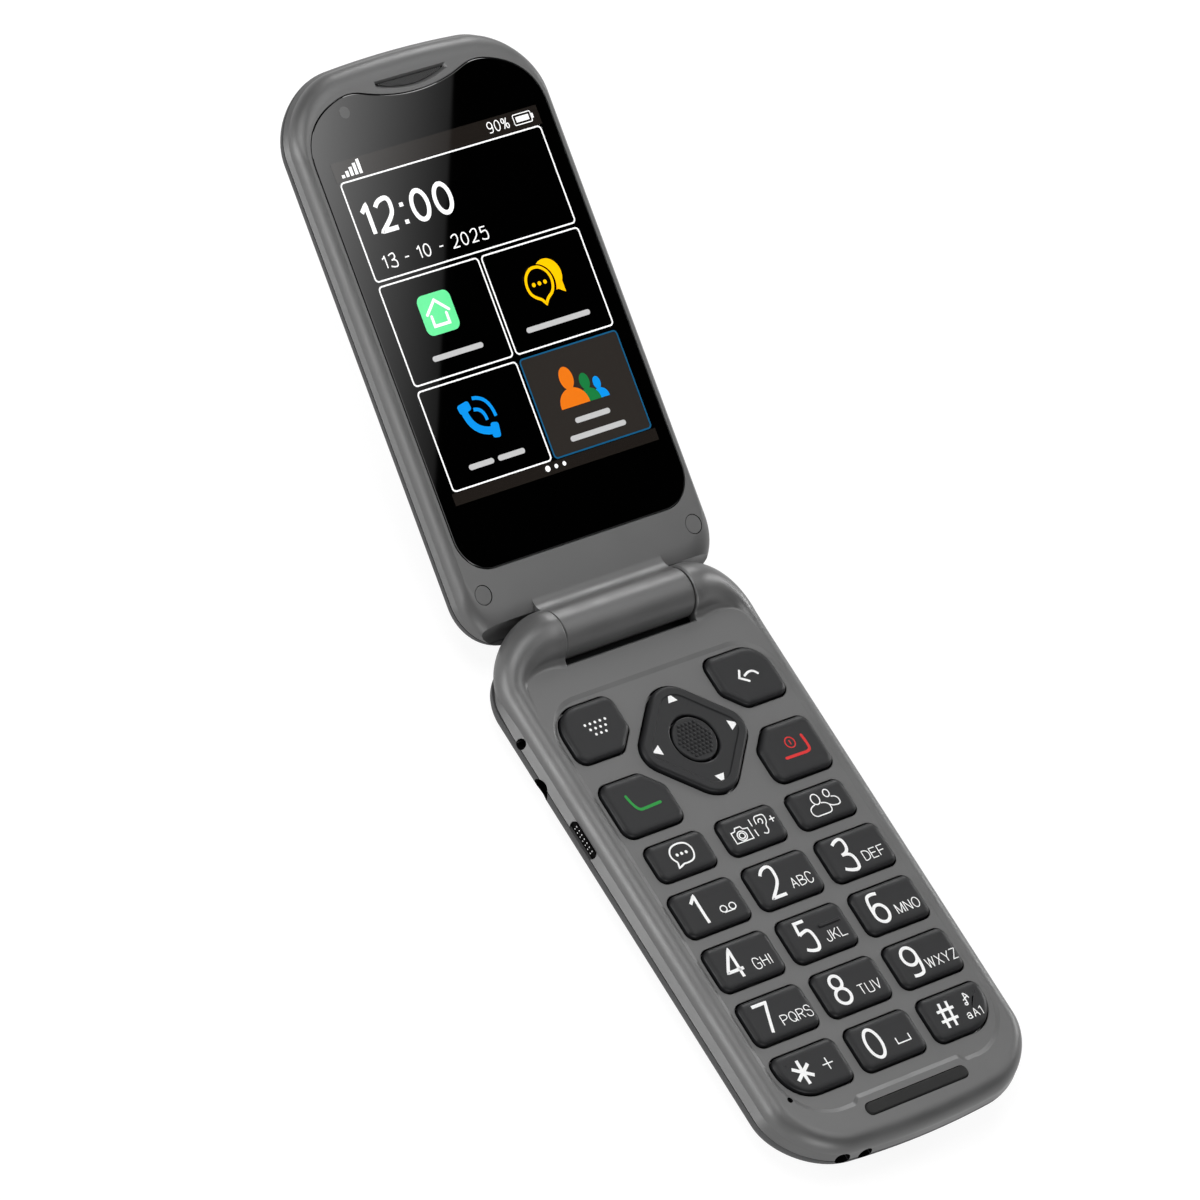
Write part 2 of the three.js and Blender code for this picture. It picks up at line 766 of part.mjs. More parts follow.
function contactPlaces() {
  return [contactShift - contactPitch / 2, contactShift + contactPitch / 2];
}

function screwPlaces() {
  return [[-1, 1], [1, 1], [-1, -1], [1, -1]].map(([side, end]) => (end > 0
    ? [side * screwRearShift, hingeY - screwRearFromAxis]
    : [side * screwKeypadShift, keypadEnd + screwKeypadFromEnd]));
}

function frontCoverBosses() {
  return screwPlaces().map(([x, y]) => uprightRod(screwBossRadius, x, y, coverBottom, plateBottom + trayPlate / 2));
}

function screwDrills() {
  const top = screwBottom + screwHeadHeight + screwLength + screwClearance;
  return screwPlaces().map(([x, y]) => uprightRod(screwShankRadius + screwClearance, x, y, 0, top));
}

function barSocket(grow, z0, z1) {
  const points = roundedPolygon(rectangleCorners(barLength, barWidth), new Array(4).fill(barWidth / 2), grow);
  const placed = shifted(points, 0, keypadEnd + barFromEnd);
  return lofted([placed.map((p) => p.clone().setZ(z0)), placed.map((p) => p.clone().setZ(z1))]);
}

function baseFrontCover() {
  const cavityRear = rearEnd - (hingeY - pocketRadius - wall * 2);
  const cavity = lofted([
    baseOutline(bandInset + wall, coverBottom - overrun, cavityRear),
    baseOutline(bandReach + rimRadius * (1 - Math.SQRT1_2) + wall, plateBottom, cavityRear),
  ]);
  const under = block([-farOverrun, -farOverrun, -farOverrun], [farOverrun, rearEnd + fitGap, coverBottom]);
  const rolls = [-1, 1].map((side) => shoulderRoll(side));
  const form = cut(joined([rimForm(), ...rolls]), [cavity, trayCut(), under]);
  const whole = joined([form, ...frontCoverBosses()]);
  const sockets = [-1, 1].map((side) => {
    const ends = [side * (pocketHalfLength - overrun), side * (pocketHalfLength + socketDepth)].sort((a, b) => a - b);
    return crossRod(socketRadius, ...ends, hingeY, hingeZ);
  });
  const mic = uprightRod(micRadius, micShift, keypadEnd + micFromEnd, plateBottom - overrun, rimTop + overrun);
  return cut(whole, [
    barrelPocket(),
    closedLidSpace(),
    ...sockets,
    ...sideOpenings(),
    ...screwDrills(),
    ...[...plainKeys, directionKey].map(keyHole),
    barSocket(layerGap, rimTop - barDepth, rimTop + overrun),
    mic,
  ]);
}

function speakerSlots() {
  const slots = [];
  for (let i = 0; i < speakerSlotCount; i++) {
    const x = speakerShift + (i - (speakerSlotCount - 1) / 2) * speakerSlotPitch;
    const half = speakerSlotLength / 2;
    slots.push(block(
      [x - speakerSlotWidth / 2, speakerY - half, -overrun],
      [x + speakerSlotWidth / 2, speakerY + half, floorThickness + overrun],
    ));
  }
  return slots;
}

function baseBackShell() {
  const cavityRear = rearEnd - (hingeY - pocketRadius - wall);
  const cavity = lofted([
    ...floorCornerShares.map((share, i) =>
      baseOutline(backRounding * share, i === 0 ? floorThickness : shellTop / 2, cavityRear)),
    baseOutline(bandInset + wall, shellTop, cavityRear),
    baseOutline(bandInset + wall, shellTop + overrun, cavityRear),
  ]);
  const recess = block(
    [-coverHalfWidth - fitGap, keypadEnd - overrun, -overrun],
    [coverHalfWidth + fitGap, hingeY - coverRearFromAxis + fitGap, coverThickness + layerGap],
  );
  const window = block(
    [-batteryWidth / 2 - fitGap * 2, keypadEnd + batteryFromEnd - fitGap * 2, -overrun],
    [batteryWidth / 2 + fitGap * 2, batteryRear + fitGap * 2, floorThickness + overrun],
  );
  const bosses = screwPlaces().map(([x, y]) => uprightRod(screwBossRadius, x, y, bossFloor, shellTop - seamGap));
  const heads = screwPlaces().map(([x, y]) =>
    uprightRod(screwHeadRadius + screwClearance, x, y, -overrun, screwBottom + screwHeadHeight + screwClearance));
  const hollow = cut(baseBackForm(), [cavity]);
  return cut(joined([hollow, ...bosses]), [
    recess,
    window,
    ...heads,
    ...screwDrills(),
    ...speakerSlots(),
    ...sideOpenings(),
    barrelPocket(),
  ]);
}

function batteryCover() {
  const plate = block(
    [-coverHalfWidth, keypadEnd + coverLowFromEnd, -overrun],
    [coverHalfWidth, hingeY - coverRearFromAxis, coverThickness],
  );
  return baseBackForm().intersect(plate);
}

// Lid shells, in a frame whose origin is on the hinge axis, with the lid lying straight out along +Y

function lidOutline(inset, hingeEnd, z, grow = 0, farInset = inset) {
  return capsuleOutline({
    half: lidWidth / 2 - inset + grow,
    low: hingeEnd - grow,
    high: lidReach - farInset + grow,
    lowCorner: lidHingeCorner - inset + grow,
    highCorner: lidFarCorner - inset + grow,
    highCrown: lidFarCrown,
  }, z);
}

// From the parting line up to the edge of the flat inner face.
function lidFrameRings(grow = 0) {
  const rings = [lidOutline(bandInset, lidHingeEnd, lidFrameBottom, grow)];
  for (let step = rimSteps; step >= 0; step--) {
    const angle = Math.PI / 2 * step / rimSteps;
    const depth = lidRimDepth * (1 - Math.cos(angle));
    const slopeCosine = Math.cos(lidRimStart) - depth / lidRimRadius;
    const sideInset = lidBandReach + lidRimRadius * (1 - Math.sqrt(1 - slopeCosine ** 2));
    const farInset = lidBandReach + lidFarRim * (1 - Math.sin(angle));
    const hingeEnd = lidFaceEnd - (lidFaceEnd - lidHingeEnd) * Math.sin(angle);
    rings.push(lidOutline(sideInset, hingeEnd, lidFace - depth, grow, farInset));
  }
  return rings;
}

function lidBackRing(share) {
  const angle = share * Math.PI / 2;
  const inset = bandInset + lidBackRounding * (1 - Math.cos(angle));
  const hingeEnd = lidHingeEnd + lidHingeRounding * (1 - Math.cos(angle));
  return lidOutline(inset, hingeEnd, lidShellTop + (lidBack - lidShellTop) * Math.sin(angle));
}

function knuckleClearance() {
  return crossRod(knuckleRadius + lidKnuckleGap, -farOverrun, farOverrun, 0, 0);
}

function neckForm() {
  const points = [new THREE.Vector2(0, -barrelRadius)];
  const floor = lidFrameBottom + seamGap / 2;
  points.push(new THREE.Vector2(Math.sqrt(barrelRadius ** 2 - floor ** 2), floor));
  points.push(new THREE.Vector2(barrelRadius + neckRadius + overrun, floor));
  points.push(new THREE.Vector2(barrelRadius + neckRadius + overrun, lidFace));
  for (let step = 0; step <= neckSteps; step++) {
    const angle = -Math.PI / 2 * (1 + step / neckSteps);
    points.push(new THREE.Vector2(
      barrelRadius + neckRadius + neckRadius * Math.cos(angle),
      lidFace + neckRadius + neckRadius * Math.sin(angle),
    ));
  }
  points.push(new THREE.Vector2(0, lidFace + neckRadius));
  const geometry = new THREE.ExtrudeGeometry(new THREE.Shape(points), { depth: 2 * barrelHalfLength, bevelEnabled: false });
  geometry.rotateX(Math.PI / 2);
  geometry.rotateZ(Math.PI / 2);
  geometry.translate(-barrelHalfLength, 0, 0);
  return solidOf(geometry);
}

function glassOutline(grow) {
  const half = glassWidth / 2 + grow;
  const corner = glassCorner + grow;
  const shape = new THREE.Shape();
  shape.moveTo(-half + corner, -glassBelow - grow);
  shape.lineTo(half - corner, -glassBelow - grow);
  shape.absarc(half - corner, -glassBelow - grow + corner, corner, -Math.PI / 2, 0, false);
  const dip = glassAbove - glassDip + grow;
  shape.lineTo(half, glassAbove - glassFarCorner);
  shape.quadraticCurveTo(half, glassShoulder + grow, glassPeakShift, glassAbove + grow);
  shape.quadraticCurveTo(glassPeakShift / 2, dip, 0, dip);
  shape.quadraticCurveTo(-glassPeakShift / 2, dip, -glassPeakShift, glassAbove + grow);
  shape.quadraticCurveTo(-half, glassShoulder + grow, -half, glassAbove - glassFarCorner);
  shape.lineTo(-half, -glassBelow - grow + corner);
  shape.absarc(-half + corner, -glassBelow - grow + corner, corner, Math.PI, 3 * Math.PI / 2, false);
  return shape.getPoints(glassSteps).map((p) => new THREE.Vector2(p.x, p.y + screenFromAxis));
}

function glassSolid(grow, z0, z1) {
  return extruded(glassOutline(grow), z0, z1);
}

// The earpiece opening is straight at the far side and bows towards the glass.
function earOutline(grow) {
  const half = earLength / 2 + grow;
  const top = screenFromAxis + earRise + grow;
  const arc = Array.from({ length: earSteps + 1 }, (_, i) => {
    const across = 2 * i / earSteps - 1;
    const depth = earEnd + (earHeight - earEnd) * (1 - across ** 2) + 2 * grow;
    return new THREE.Vector3(half * across, top - depth, 0);
  });
  return [...arc, new THREE.Vector3(half, top, 0), new THREE.Vector3(-half, top, 0)];
}

function earPrism(grow, z0, z1) {
  const points = earOutline(grow);
  return lofted([points.map((p) => p.clone().setZ(z0)), points.map((p) => p.clone().setZ(z1))]);
}

const lidScrewPlaces = [-1, 1].map((side) => [side * plugShift, screenFromAxis - plugDrop]);
const lidScrewTop = lidFace - plugThickness - fitGap;

function lidScrewDrills() {
  return lidScrewPlaces.map(([x, y]) =>
    uprightRod(screwShankRadius + screwClearance, x, y, lidScrewTop - lidScrewLength - fitGap, lidFace + overrun));
}

function lidFrontFrame() {
  const form = lofted(lidFrameRings());
  const cavity = lofted([
    lidOutline(wall + bandInset, lidCavityStart, lidFrameBottom - overrun),
    lidOutline(lidFaceInset + wall, lidCavityStart, lidFace - lidPlate),
  ]);
  const hollow = cut(form, [cavity, knuckleClearance()]);
  const barrel = crossRod(barrelRadius, -barrelHalfLength, barrelHalfLength, 0, 0);
  const display = block(
    [-screenWidth / 2 - displayMargin - fitGap, screenFromAxis - screenHeight / 2 - displayMargin - fitGap, lidBack],
    [screenWidth / 2 + displayMargin + fitGap, screenFromAxis + screenHeight / 2 + displayMargin + fitGap, lidFace],
  );
  const bores = [
    crossRod(cartridgeRadius + fitGap, -barrelHalfLength - overrun, -barrelHalfLength + cartridgeLength + fitGap, 0, 0),
    crossRod(bushTubeRadius + fitGap, barrelHalfLength - flexLength + fitGap, barrelHalfLength + overrun, 0, 0),
  ];
  const plugHoles = lidScrewPlaces.map(([x, y]) =>
    uprightRod(plugRadius + plugGap, x, y, lidScrewTop - screwHeadHeight - fitGap / 2, lidFace + overrun));
  const sensor = uprightRod(sensorRadius + layerGap, sensorShift, screenFromAxis + sensorRise, lidBack, lidFace + overrun);
  return cut(joined([hollow, barrel, neckForm()]), [
    glassSolid(glassGap, lidFace - glassThickness - glassGap, lidFace + overrun),
    display,
    earPrism(0, lidFace - lidPlate - overrun, lidFace + overrun),
    ...bores,
    ...plugHoles,
    ...lidScrewDrills(),
    sensor,
  ]);
}

function lidBackShell() {
  const form = lofted(backShares.map(lidBackRing));
  const cavity = lofted([
    lidOutline(lidBackRounding / 2 + wall / 2, lidCavityStart + wall, lidBack + wall),
    lidOutline(wall + bandInset, lidCavityStart, lidShellTop - wall / 2),
    lidOutline(wall + bandInset, lidCavityStart, lidShellTop + overrun),
  ]);
  const cameraY = screenFromAxis + cameraRise;
  const cameraDrill = (radius, depth) =>
    uprightRod(radius, 0, cameraY, lidBack - overrun, lidBack + depth, roundSegments);
  const lens = cameraDrill(cameraRadius + layerGap, cameraLensThickness + layerGap);
  const eye = cameraDrill(cameraRadius - cameraRing, wall + overrun);
  const flash = uprightRod(flashRadius + layerGap, flashShift, cameraY, lidBack - overrun, lidBack + wall + overrun);
  return cut(form, [cavity, knuckleClearance(), lens, eye, flash, ...lidScrewDrills()]);
}

// Hinge inserts

function camShaft() {
  const from = -pocketHalfLength - camHeadLength;
  const head = crossRod(camHeadRadius, from, -pocketHalfLength, hingeY, hingeZ);
  const shaftFrom = from + camHeadLength / 2;
  const shaft = crossRod(camShaftRadius, shaftFrom, -pocketHalfLength + camShaftLength, hingeY, hingeZ, smallSegments);
  return head.add(shaft);
}

function cartridge() {
  const from = -barrelHalfLength;
  const body = crossRod(cartridgeRadius, from, from + cartridgeLength, 0, 0);
  const bore = crossRod(camShaftRadius + fitGap, from - overrun, from + camShaftLength + fitGap, 0, 0);
  return body.subtract(bore);
}

function bush() {
  const from = pocketHalfLength - bushTubeLength;
  const to = pocketHalfLength + camHeadLength;
  const head = crossRod(camHeadRadius, pocketHalfLength, to, hingeY, hingeZ);
  const tube = crossRod(bushTubeRadius, from, to - camHeadLength / 2, hingeY, hingeZ);
  const bore = crossRod(bushBore, from - overrun, to + overrun, hingeY, hingeZ);
  return head.add(tube).subtract(bore);
}

function flexRoll() {
  const from = barrelHalfLength - flexLength + fitGap * 2;
  const to = barrelHalfLength + fitGap;
  const outside = crossRod(flexRadius, from, to, 0, 0, smallSegments);
  const inside = crossRod(flexRadius - flexWall, from - overrun, to + overrun, 0, 0, smallSegments);
  return outside.subtract(inside);
}

// Small pieces

function screw(x, y, headBottom, length, pointsUp) {
  const direction = pointsUp ? 1 : -1;
  const profile = [
    [0, 0],
    [screwHeadRadius, 0],
    [screwHeadRadius, screwHeadHeight],
    [screwShankRadius, screwHeadHeight],
    [screwShankRadius, screwHeadHeight + length - screwShankRadius],
    [0, screwHeadHeight + length],
  ].map(([r, h]) => new THREE.Vector2(r, h));
  const geometry = new THREE.LatheGeometry(profile, smallSegments);
  geometry.rotateX(direction * Math.PI / 2);
  geometry.translate(x, y, headBottom);
  return solidOf(geometry);
}

function bossRooms(z0, z1) {
  return screwPlaces().map(([x, y]) => uprightRod(screwBossRadius + fitGap, x, y, z0 - overrun, z1 + overrun));
}

function mainBoard() {
  const top = keypadBoardTop - boardThickness - fitGap - chipHeight - layerGap;
  const bottom = top - mainBoardThickness;
  const front = mainBoardRear - mainBoardLength;
  const board = block([-mainBoardWidth / 2, front, bottom], [mainBoardWidth / 2, mainBoardRear, top]);
  const chips = [-1, 0, 1].map((column) => {
    const [x, y] = [column * chipPitch, front + mainBoardLength / 2];
    return block([x - chipSize / 2, y - chipSize / 2, top - layerGap], [x + chipSize / 2, y + chipSize / 2, top + chipHeight]);
  });
  return cut(joined([board, ...chips]), bossRooms(bottom, top));
}

function keypadLayer(z0, z1) {
  const low = keypadEnd + screwKeypadFromEnd - overrun;
  const plate = block([-keypadBoardHalfWidth, low, z0], [keypadBoardHalfWidth, trayHigh, z1]);
  const corners = [-1, 1].map((side) => {
    const ends = [side * (keypadBoardHalfWidth - overrun), side * farOverrun].sort((a, b) => a - b);
    return block([ends[0], low - overrun, z0 - overrun], [ends[1], low + keypadCorner / 2, z1 + overrun]);
  });
  return cut(plate, [...bossRooms(z0, z1), ...corners]);
}

function chargingPort() {
  const from = -baseHalf + wall;
  const to = -baseHalf + portDepth;
  return portSlot(0, from, to).subtract(portSlot(-portWall, from - overrun, to - wall / 2));
}

function audioJack() {
  const y = hingeY - jackFromAxis;
  const z = seamHeight + jackRise;
  const inner = -baseHalf + jackDepth;
  const bottom = z - jackRadius - jackCollar;
  const collar = crossRod(jackRadius + jackCollar, -baseHalf + jackInset, inner, y, z);
  const rear = block(
    [inner - fitGap, y - jackRadius, bottom],
    [inner + jackBlockLength, y + jackRadius, bottom + jackBlockHeight],
  );
  const bore = crossRod(jackRadius, -baseHalf - overrun, inner - fitGap, y, z);
  return collar.add(rear).subtract(bore);
}

// Materials

const materials = {
  body: new THREE.MeshStandardMaterial({ color: 0x6b6b6b, roughness: 0.55, metalness: 0.1 }),
  back: new THREE.MeshStandardMaterial({ color: 0x3a3a3c, roughness: 0.6, metalness: 0.0 }),
  key: new THREE.MeshStandardMaterial({ color: 0x38393b, roughness: 0.6, metalness: 0.0 }),
  glass: new THREE.MeshStandardMaterial({ color: 0x050505, roughness: 0.08, metalness: 0.0 }),
  rubber: new THREE.MeshStandardMaterial({ color: 0x2a2a2a, roughness: 0.8, metalness: 0.0 }),
  board: new THREE.MeshStandardMaterial({ color: 0x1f5a3a, roughness: 0.5, metalness: 0.0 }),
  metal: new THREE.MeshStandardMaterial({ color: 0xa8a8a8, roughness: 0.35, metalness: 0.9 }),
  black: new THREE.MeshStandardMaterial({ color: 0x151515, roughness: 0.5, metalness: 0.0 }),
};

function piece(name, solid, material) {
  const mesh = new THREE.Mesh(geometryOf(solid), material);
  mesh.name = name;
  return mesh;
}

// The assembly

function basePieces() {
  const group = new THREE.Group();
  const speakerBottom = floorThickness + layerGap;
  const motorTop = speakerBottom + motorThickness;
  group.add(
    piece('base_front_cover', baseFrontCover(), materials.body),
    piece('base_back_shell', baseBackShell(), materials.back),
    piece('battery_cover', batteryCover(), materials.back),
    piece('keypad_board', keypadLayer(keypadBoardTop - boardThickness, keypadBoardTop), materials.board),
    piece('dome_sheet', keypadLayer(domeTop - domeThickness, domeTop), materials.metal),
    piece('main_board', mainBoard(), materials.board),
    piece('battery', block(
      [-batteryWidth / 2, keypadEnd + batteryFromEnd, batteryBottom],
      [batteryWidth / 2, batteryRear, keypadBoardTop - boardThickness - fitGap],
    ), materials.black),
    piece('loudspeaker', block(
      [speakerShift - speakerWidth / 2, speakerY - speakerLength / 2, speakerBottom],
      [speakerShift + speakerWidth / 2, speakerY + speakerLength / 2, speakerBottom + speakerThickness],
    ), materials.black),
    piece('vibration_motor', uprightRod(motorRadius, motorShift, speakerY, speakerBottom, motorTop), materials.metal),
    piece('charging_port', chargingPort(), materials.black),
    piece('audio_jack', audioJack(), materials.black),
    piece('rubber_bar', barSocket(0, rimTop - barDepth + layerGap, rimTop + barProud), materials.rubber),
    piece('hinge_cam_shaft', camShaft(), materials.metal),
    piece('hinge_bush', bush(), materials.metal),
    ...contactRod(contactRadius, wall, contactDepth - layerGap).map((pin, i) =>
      piece(`charging_contact_${i + 1}`, pin, materials.metal)),
    ...screwPlaces().map(([x, y], i) =>
      piece(`base_screw_${i + 1}`, screw(x, y, screwBottom, screwLength, true), materials.metal)),
  );
  return group;
}

function keyPieces() {
  const group = new THREE.Group();
  group.add(
    ...plainKeys.map((key) => piece(key.name, keyCap(key), materials.key)),
    piece('direction_ring', directionRing(), materials.key),
    piece('direction_collar', directionCollar(), materials.rubber),
    piece('key_ok', okKey(), materials.key),
  );
  return group;
}

function lidPieces() {
  const group = new THREE.Group();
  const cameraY = screenFromAxis + cameraRise;
  const displayTop = lidFace - glassThickness - glassGap;
  const displayBottom = displayTop - displayThickness;
  const boardTop = displayBottom - fitGap;
  const grilleTop = lidFace - earGrilleDepth;
  const earTop = lidFace - lidPlate - fitGap;
  const earY = screenFromAxis + earRise - earHeight / 2;
  group.add(
    piece('lid_front_frame', lidFrontFrame(), materials.body),
    piece('lid_back_shell', lidBackShell(), materials.back),
    piece('display_glass', glassSolid(0, lidFace - glassThickness, lidFace), materials.glass),
    piece('display_module', block(
      [-screenWidth / 2 - displayMargin, screenFromAxis - screenHeight / 2 - displayMargin, displayBottom],
      [screenWidth / 2 + displayMargin, screenFromAxis + screenHeight / 2 + displayMargin, displayTop],
    ), materials.black),
    piece('lid_board', block(
      [-lidBoardWidth / 2, screenFromAxis - lidBoardLength / 2, boardTop - boardThickness],
      [lidBoardWidth / 2, screenFromAxis + lidBoardLength / 2, boardTop],
    ), materials.board),
    piece('earpiece_grille', earPrism(-layerGap, grilleTop - earGrilleThickness, grilleTop), materials.metal),
    piece('earpiece_speaker', block(
      [-earSpeakerLength / 2, earY - earSpeakerWidth / 2, earTop - earSpeakerThickness],
      [earSpeakerLength / 2, earY + earSpeakerWidth / 2, earTop],
    ), materials.black),
    piece('front_sensor', uprightRod(
      sensorRadius, sensorShift, screenFromAxis + sensorRise, displayTop - sensorThickness, displayTop,
    ), materials.black),
    piece('camera_lens', uprightRod(
      cameraRadius, 0, cameraY, lidBack, lidBack + cameraLensThickness, roundSegments,
    ), materials.glass),
    piece('camera_module', block(
      [-cameraModuleSize / 2, cameraY - cameraModuleSize / 2, lidBack + wall + fitGap],
      [cameraModuleSize / 2, cameraY + cameraModuleSize / 2, boardTop - boardThickness - fitGap],
    ), materials.black),
    piece('flash_lens', uprightRod(flashRadius, flashShift, cameraY, lidBack, lidBack + wall), materials.glass),
    piece('hinge_cartridge', cartridge(), materials.metal),
    piece('hinge_flex_cable', flexRoll(), materials.rubber),
    ...lidScrewPlaces.map(([x, y], i) =>
      piece(`lid_plug_${i + 1}`, uprightRod(plugRadius, x, y, lidFace - plugThickness, lidFace), materials.rubber)),
    ...lidScrewPlaces.map(([x, y], i) =>
      piece(`lid_screw_${i + 1}`, screw(x, y, lidScrewTop, lidScrewLength - screwHeadHeight, false), materials.metal)),
  );
  group.position.set(0, hingeY, hingeZ);
  group.rotation.x = Math.PI - openAngle;
  return group;
}

const phone = new THREE.Group();
phone.add(basePieces(), keyPieces(), lidPieces());

export default phone;
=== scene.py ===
"""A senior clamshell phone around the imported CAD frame, in millimetres, or metres where a name ends in M."""
import json
import math

import bmesh
import bpy
from mathutils import Euler, Matrix, Vector
from mathutils.bvhtree import BVHTree

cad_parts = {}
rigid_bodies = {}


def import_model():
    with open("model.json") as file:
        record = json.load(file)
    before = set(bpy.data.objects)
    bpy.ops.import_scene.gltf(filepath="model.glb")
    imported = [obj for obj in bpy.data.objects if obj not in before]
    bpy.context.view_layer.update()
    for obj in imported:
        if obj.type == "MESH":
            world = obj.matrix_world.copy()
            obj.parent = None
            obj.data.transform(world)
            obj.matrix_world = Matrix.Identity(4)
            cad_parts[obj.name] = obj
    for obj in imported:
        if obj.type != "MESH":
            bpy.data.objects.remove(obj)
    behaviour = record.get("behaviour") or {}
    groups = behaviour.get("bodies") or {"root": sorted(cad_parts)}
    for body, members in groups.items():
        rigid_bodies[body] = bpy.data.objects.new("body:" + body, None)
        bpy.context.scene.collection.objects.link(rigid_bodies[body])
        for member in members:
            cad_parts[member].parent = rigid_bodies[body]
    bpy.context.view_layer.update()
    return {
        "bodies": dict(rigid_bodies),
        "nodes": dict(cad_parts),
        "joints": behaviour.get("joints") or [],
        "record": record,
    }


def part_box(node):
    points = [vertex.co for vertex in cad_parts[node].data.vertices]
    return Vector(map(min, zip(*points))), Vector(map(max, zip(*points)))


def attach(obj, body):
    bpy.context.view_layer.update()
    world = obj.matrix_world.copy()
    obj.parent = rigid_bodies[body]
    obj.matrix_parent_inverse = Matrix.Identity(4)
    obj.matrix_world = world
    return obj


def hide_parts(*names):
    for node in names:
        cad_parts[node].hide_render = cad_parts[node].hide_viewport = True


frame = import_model()

MM = 0.001
UP = (0, 0, 1)

# Datums from the frame: the hinge, the open angle and the boxes of the nodes
hinge_joint = next(joint for joint in frame["joints"] if joint["name"] == "lid_hinge")
HINGE_Y = hinge_joint["pos_m"][1] / MM
HINGE_Z = hinge_joint["pos_m"][2] / MM
OPEN_TILT = math.pi - math.radians(hinge_joint["range_deg"][1])
LID_PLACE = Matrix.Translation((0, HINGE_Y, HINGE_Z)) @ Matrix.Rotation(OPEN_TILT, 4, "X")


def node_box(node):
    low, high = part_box(node)
    return Vector(low) / MM, Vector(high) / MM


def node_middle(node):
    low, high = node_box(node)
    return (low.x + high.x) / 2, (low.y + high.y) / 2


# Base form
BASE_HALF = 27.6
BASE_REACH = 97.55
KEYPAD_END = HINGE_Y - BASE_REACH
RIM_TOP = 9.65
SEAM_HEIGHT = 5.45
SEAM_GAP = 0.2
RIM_RADIUS = 2.73
BAND_REACH = 0.77
KEYPAD_BAND_REACH = 0.3
BAND_INSET = 0.06
CREASE_HEIGHT = RIM_TOP - RIM_RADIUS
CREASE_HALF = BASE_HALF - BAND_REACH
KEYPAD_CORNER = 12.6
KEYPAD_CROWN = 2.2
REAR_REACH = 0.25
REAR_CORNER = 9
BACK_ROUNDING = 9.1
REAR_ROUNDING = 4
SHOULDER_CORNER = 11.4
SHOULDER_CROWN = 0.8
SHOULDER_RUN = 5
SHOULDER_START_SHARE = 0.1
KNUCKLE_RADIUS = 4.45
SHOULDER_FILLET = 1.8
SHOULDER_EDGE = 0.25
RIM_INSIDE = 1
FOOT_DEPTH = 0.02
FOOT_LEAN = math.radians(70)
FACET_END_SHARE = 0.25
COVER_BOTTOM = SEAM_HEIGHT + SEAM_GAP / 2
SHELL_TOP = SEAM_HEIGHT - SEAM_GAP / 2
REAR_END = HINGE_Y + REAR_REACH
WALL = 1.3

# Tray
TRAY_DEPTH = 0.24
TRAY_BEVEL = 0.76
TRAY_INSET = 4.38
TRAY_KEYPAD_INSET = 8
TRAY_TONGUE = 0.9
TRAY_TONGUE_HALF = 10.6
TRAY_TONGUE_RUN = 1.6
TRAY_CORNER = 9
TRAY_REAR_CORNER = 7
TRAY_REAR_FROM_AXIS = 11.46
TRAY_PLATE = 1.2
TRAY_FLOOR = RIM_TOP - TRAY_DEPTH
PLATE_BOTTOM = TRAY_FLOOR - TRAY_PLATE
TRAY_HALF = BASE_HALF - TRAY_INSET
TRAY_LOW = KEYPAD_END + TRAY_KEYPAD_INSET
TRAY_HIGH = HINGE_Y - TRAY_REAR_FROM_AXIS

# Barrel and its pocket
BARREL_RADIUS = 4.2
BARREL_HALF = 13.7
BARREL_EDGE = 0.25
POCKET_HALF = 13.85
POCKET_RADIUS = 4.6
POCKET_EDGE = 0.35
POCKET_FRONT = 5.3
POCKET_REAR = 1
POCKET_DEPTH = 2
NECK_RADIUS = 2.7

# Keys
KEY_CORNER = 1.8
END_KEY_CORNER = 6
NOTCH = 3.6
NOTCH_CORNER = 2.2
SOFT_KEY_CORNER = 5
KEY_GAP = 0.3
KEY_FLANGE_REACH = 0.2
HOLE_EDGE = 0.14
# Share of a hole's edge rounding below which its walls are painted black as painted shade
HOLE_SHADE_SHARE = 0.9
KEY_TOP = 10.25
KEY_BEVEL_WIDTH = 1.3
KEY_BEVEL_HEIGHT = 0.6
KEY_DISH = 0.05
KEY_DISH_STEP = 0.5
KEY_DISH_REACH = 1.2
OK_RIM_GAP = 0.25
OK_SUNK = 0.2
OK_EDGE = 0.3
OK_BUMP_PITCH = 0.8
OK_BUMP_ROW_SHARE = 0.866
OK_BUMP_RADIUS = 0.36
OK_BUMP_HEIGHT = 0.16
OK_BUMP_SUNK = 0.05
OK_BUMP_SHARES = ((0.8, 0.6), (0.45, 1))
OK_BUMP_SIDES = 6
PAD_HALF = 12.605
PAD_TIP_CORNER = 5.5
PAD_SIDE_CORNER = 4.1
PAD_BEVEL_WIDTH = 0.7
PAD_BORDER = 0.95
PAD_STEP = 0.16
PAD_STEP_RUN = 0.2
PAD_BORE_GAP = 0.1
PAD_BORE_EDGE = 0.25
ROCK_GAP = 0.3
RIDGE_SIZE = (4.6, 0.62)
RIDGE_PLACE = (2.75, 0.8)
RIDGE_EDGE = 0.14
RIDGE_RISE = 0.22

# Openings in the left side and the keypad end: places from the hinge axis and from the seam
PORT_FROM_AXIS = 32.7
PORT_OVER_SEAM = 0.75
PORT_Y = HINGE_Y - PORT_FROM_AXIS
PORT_Z = SEAM_HEIGHT + PORT_OVER_SEAM
PORT_SIZE = (6.9, 1.5)
PORT_BACK = -BASE_HALF + 0.5
PORT_BACKING_GAP = 0.03
PORT_BACKING = 0.3
PORT_DOTS = 7
PORT_DOT_PITCH = 0.78
PORT_DOT_ROW_OFFSET = 0.32
PORT_DOT_STEPS = 12
PORT_DOT_RINGS = ((0.1, 0.13), (-0.02, 0.13), (-0.05, 0.09))
JACK_FROM_AXIS = 21.65
JACK_UNDER_SEAM = 1.35
JACK_RADIUS = 1.85
HOLE_FROM_AXIS = 14.05
HOLE_OVER_SEAM = 0.5
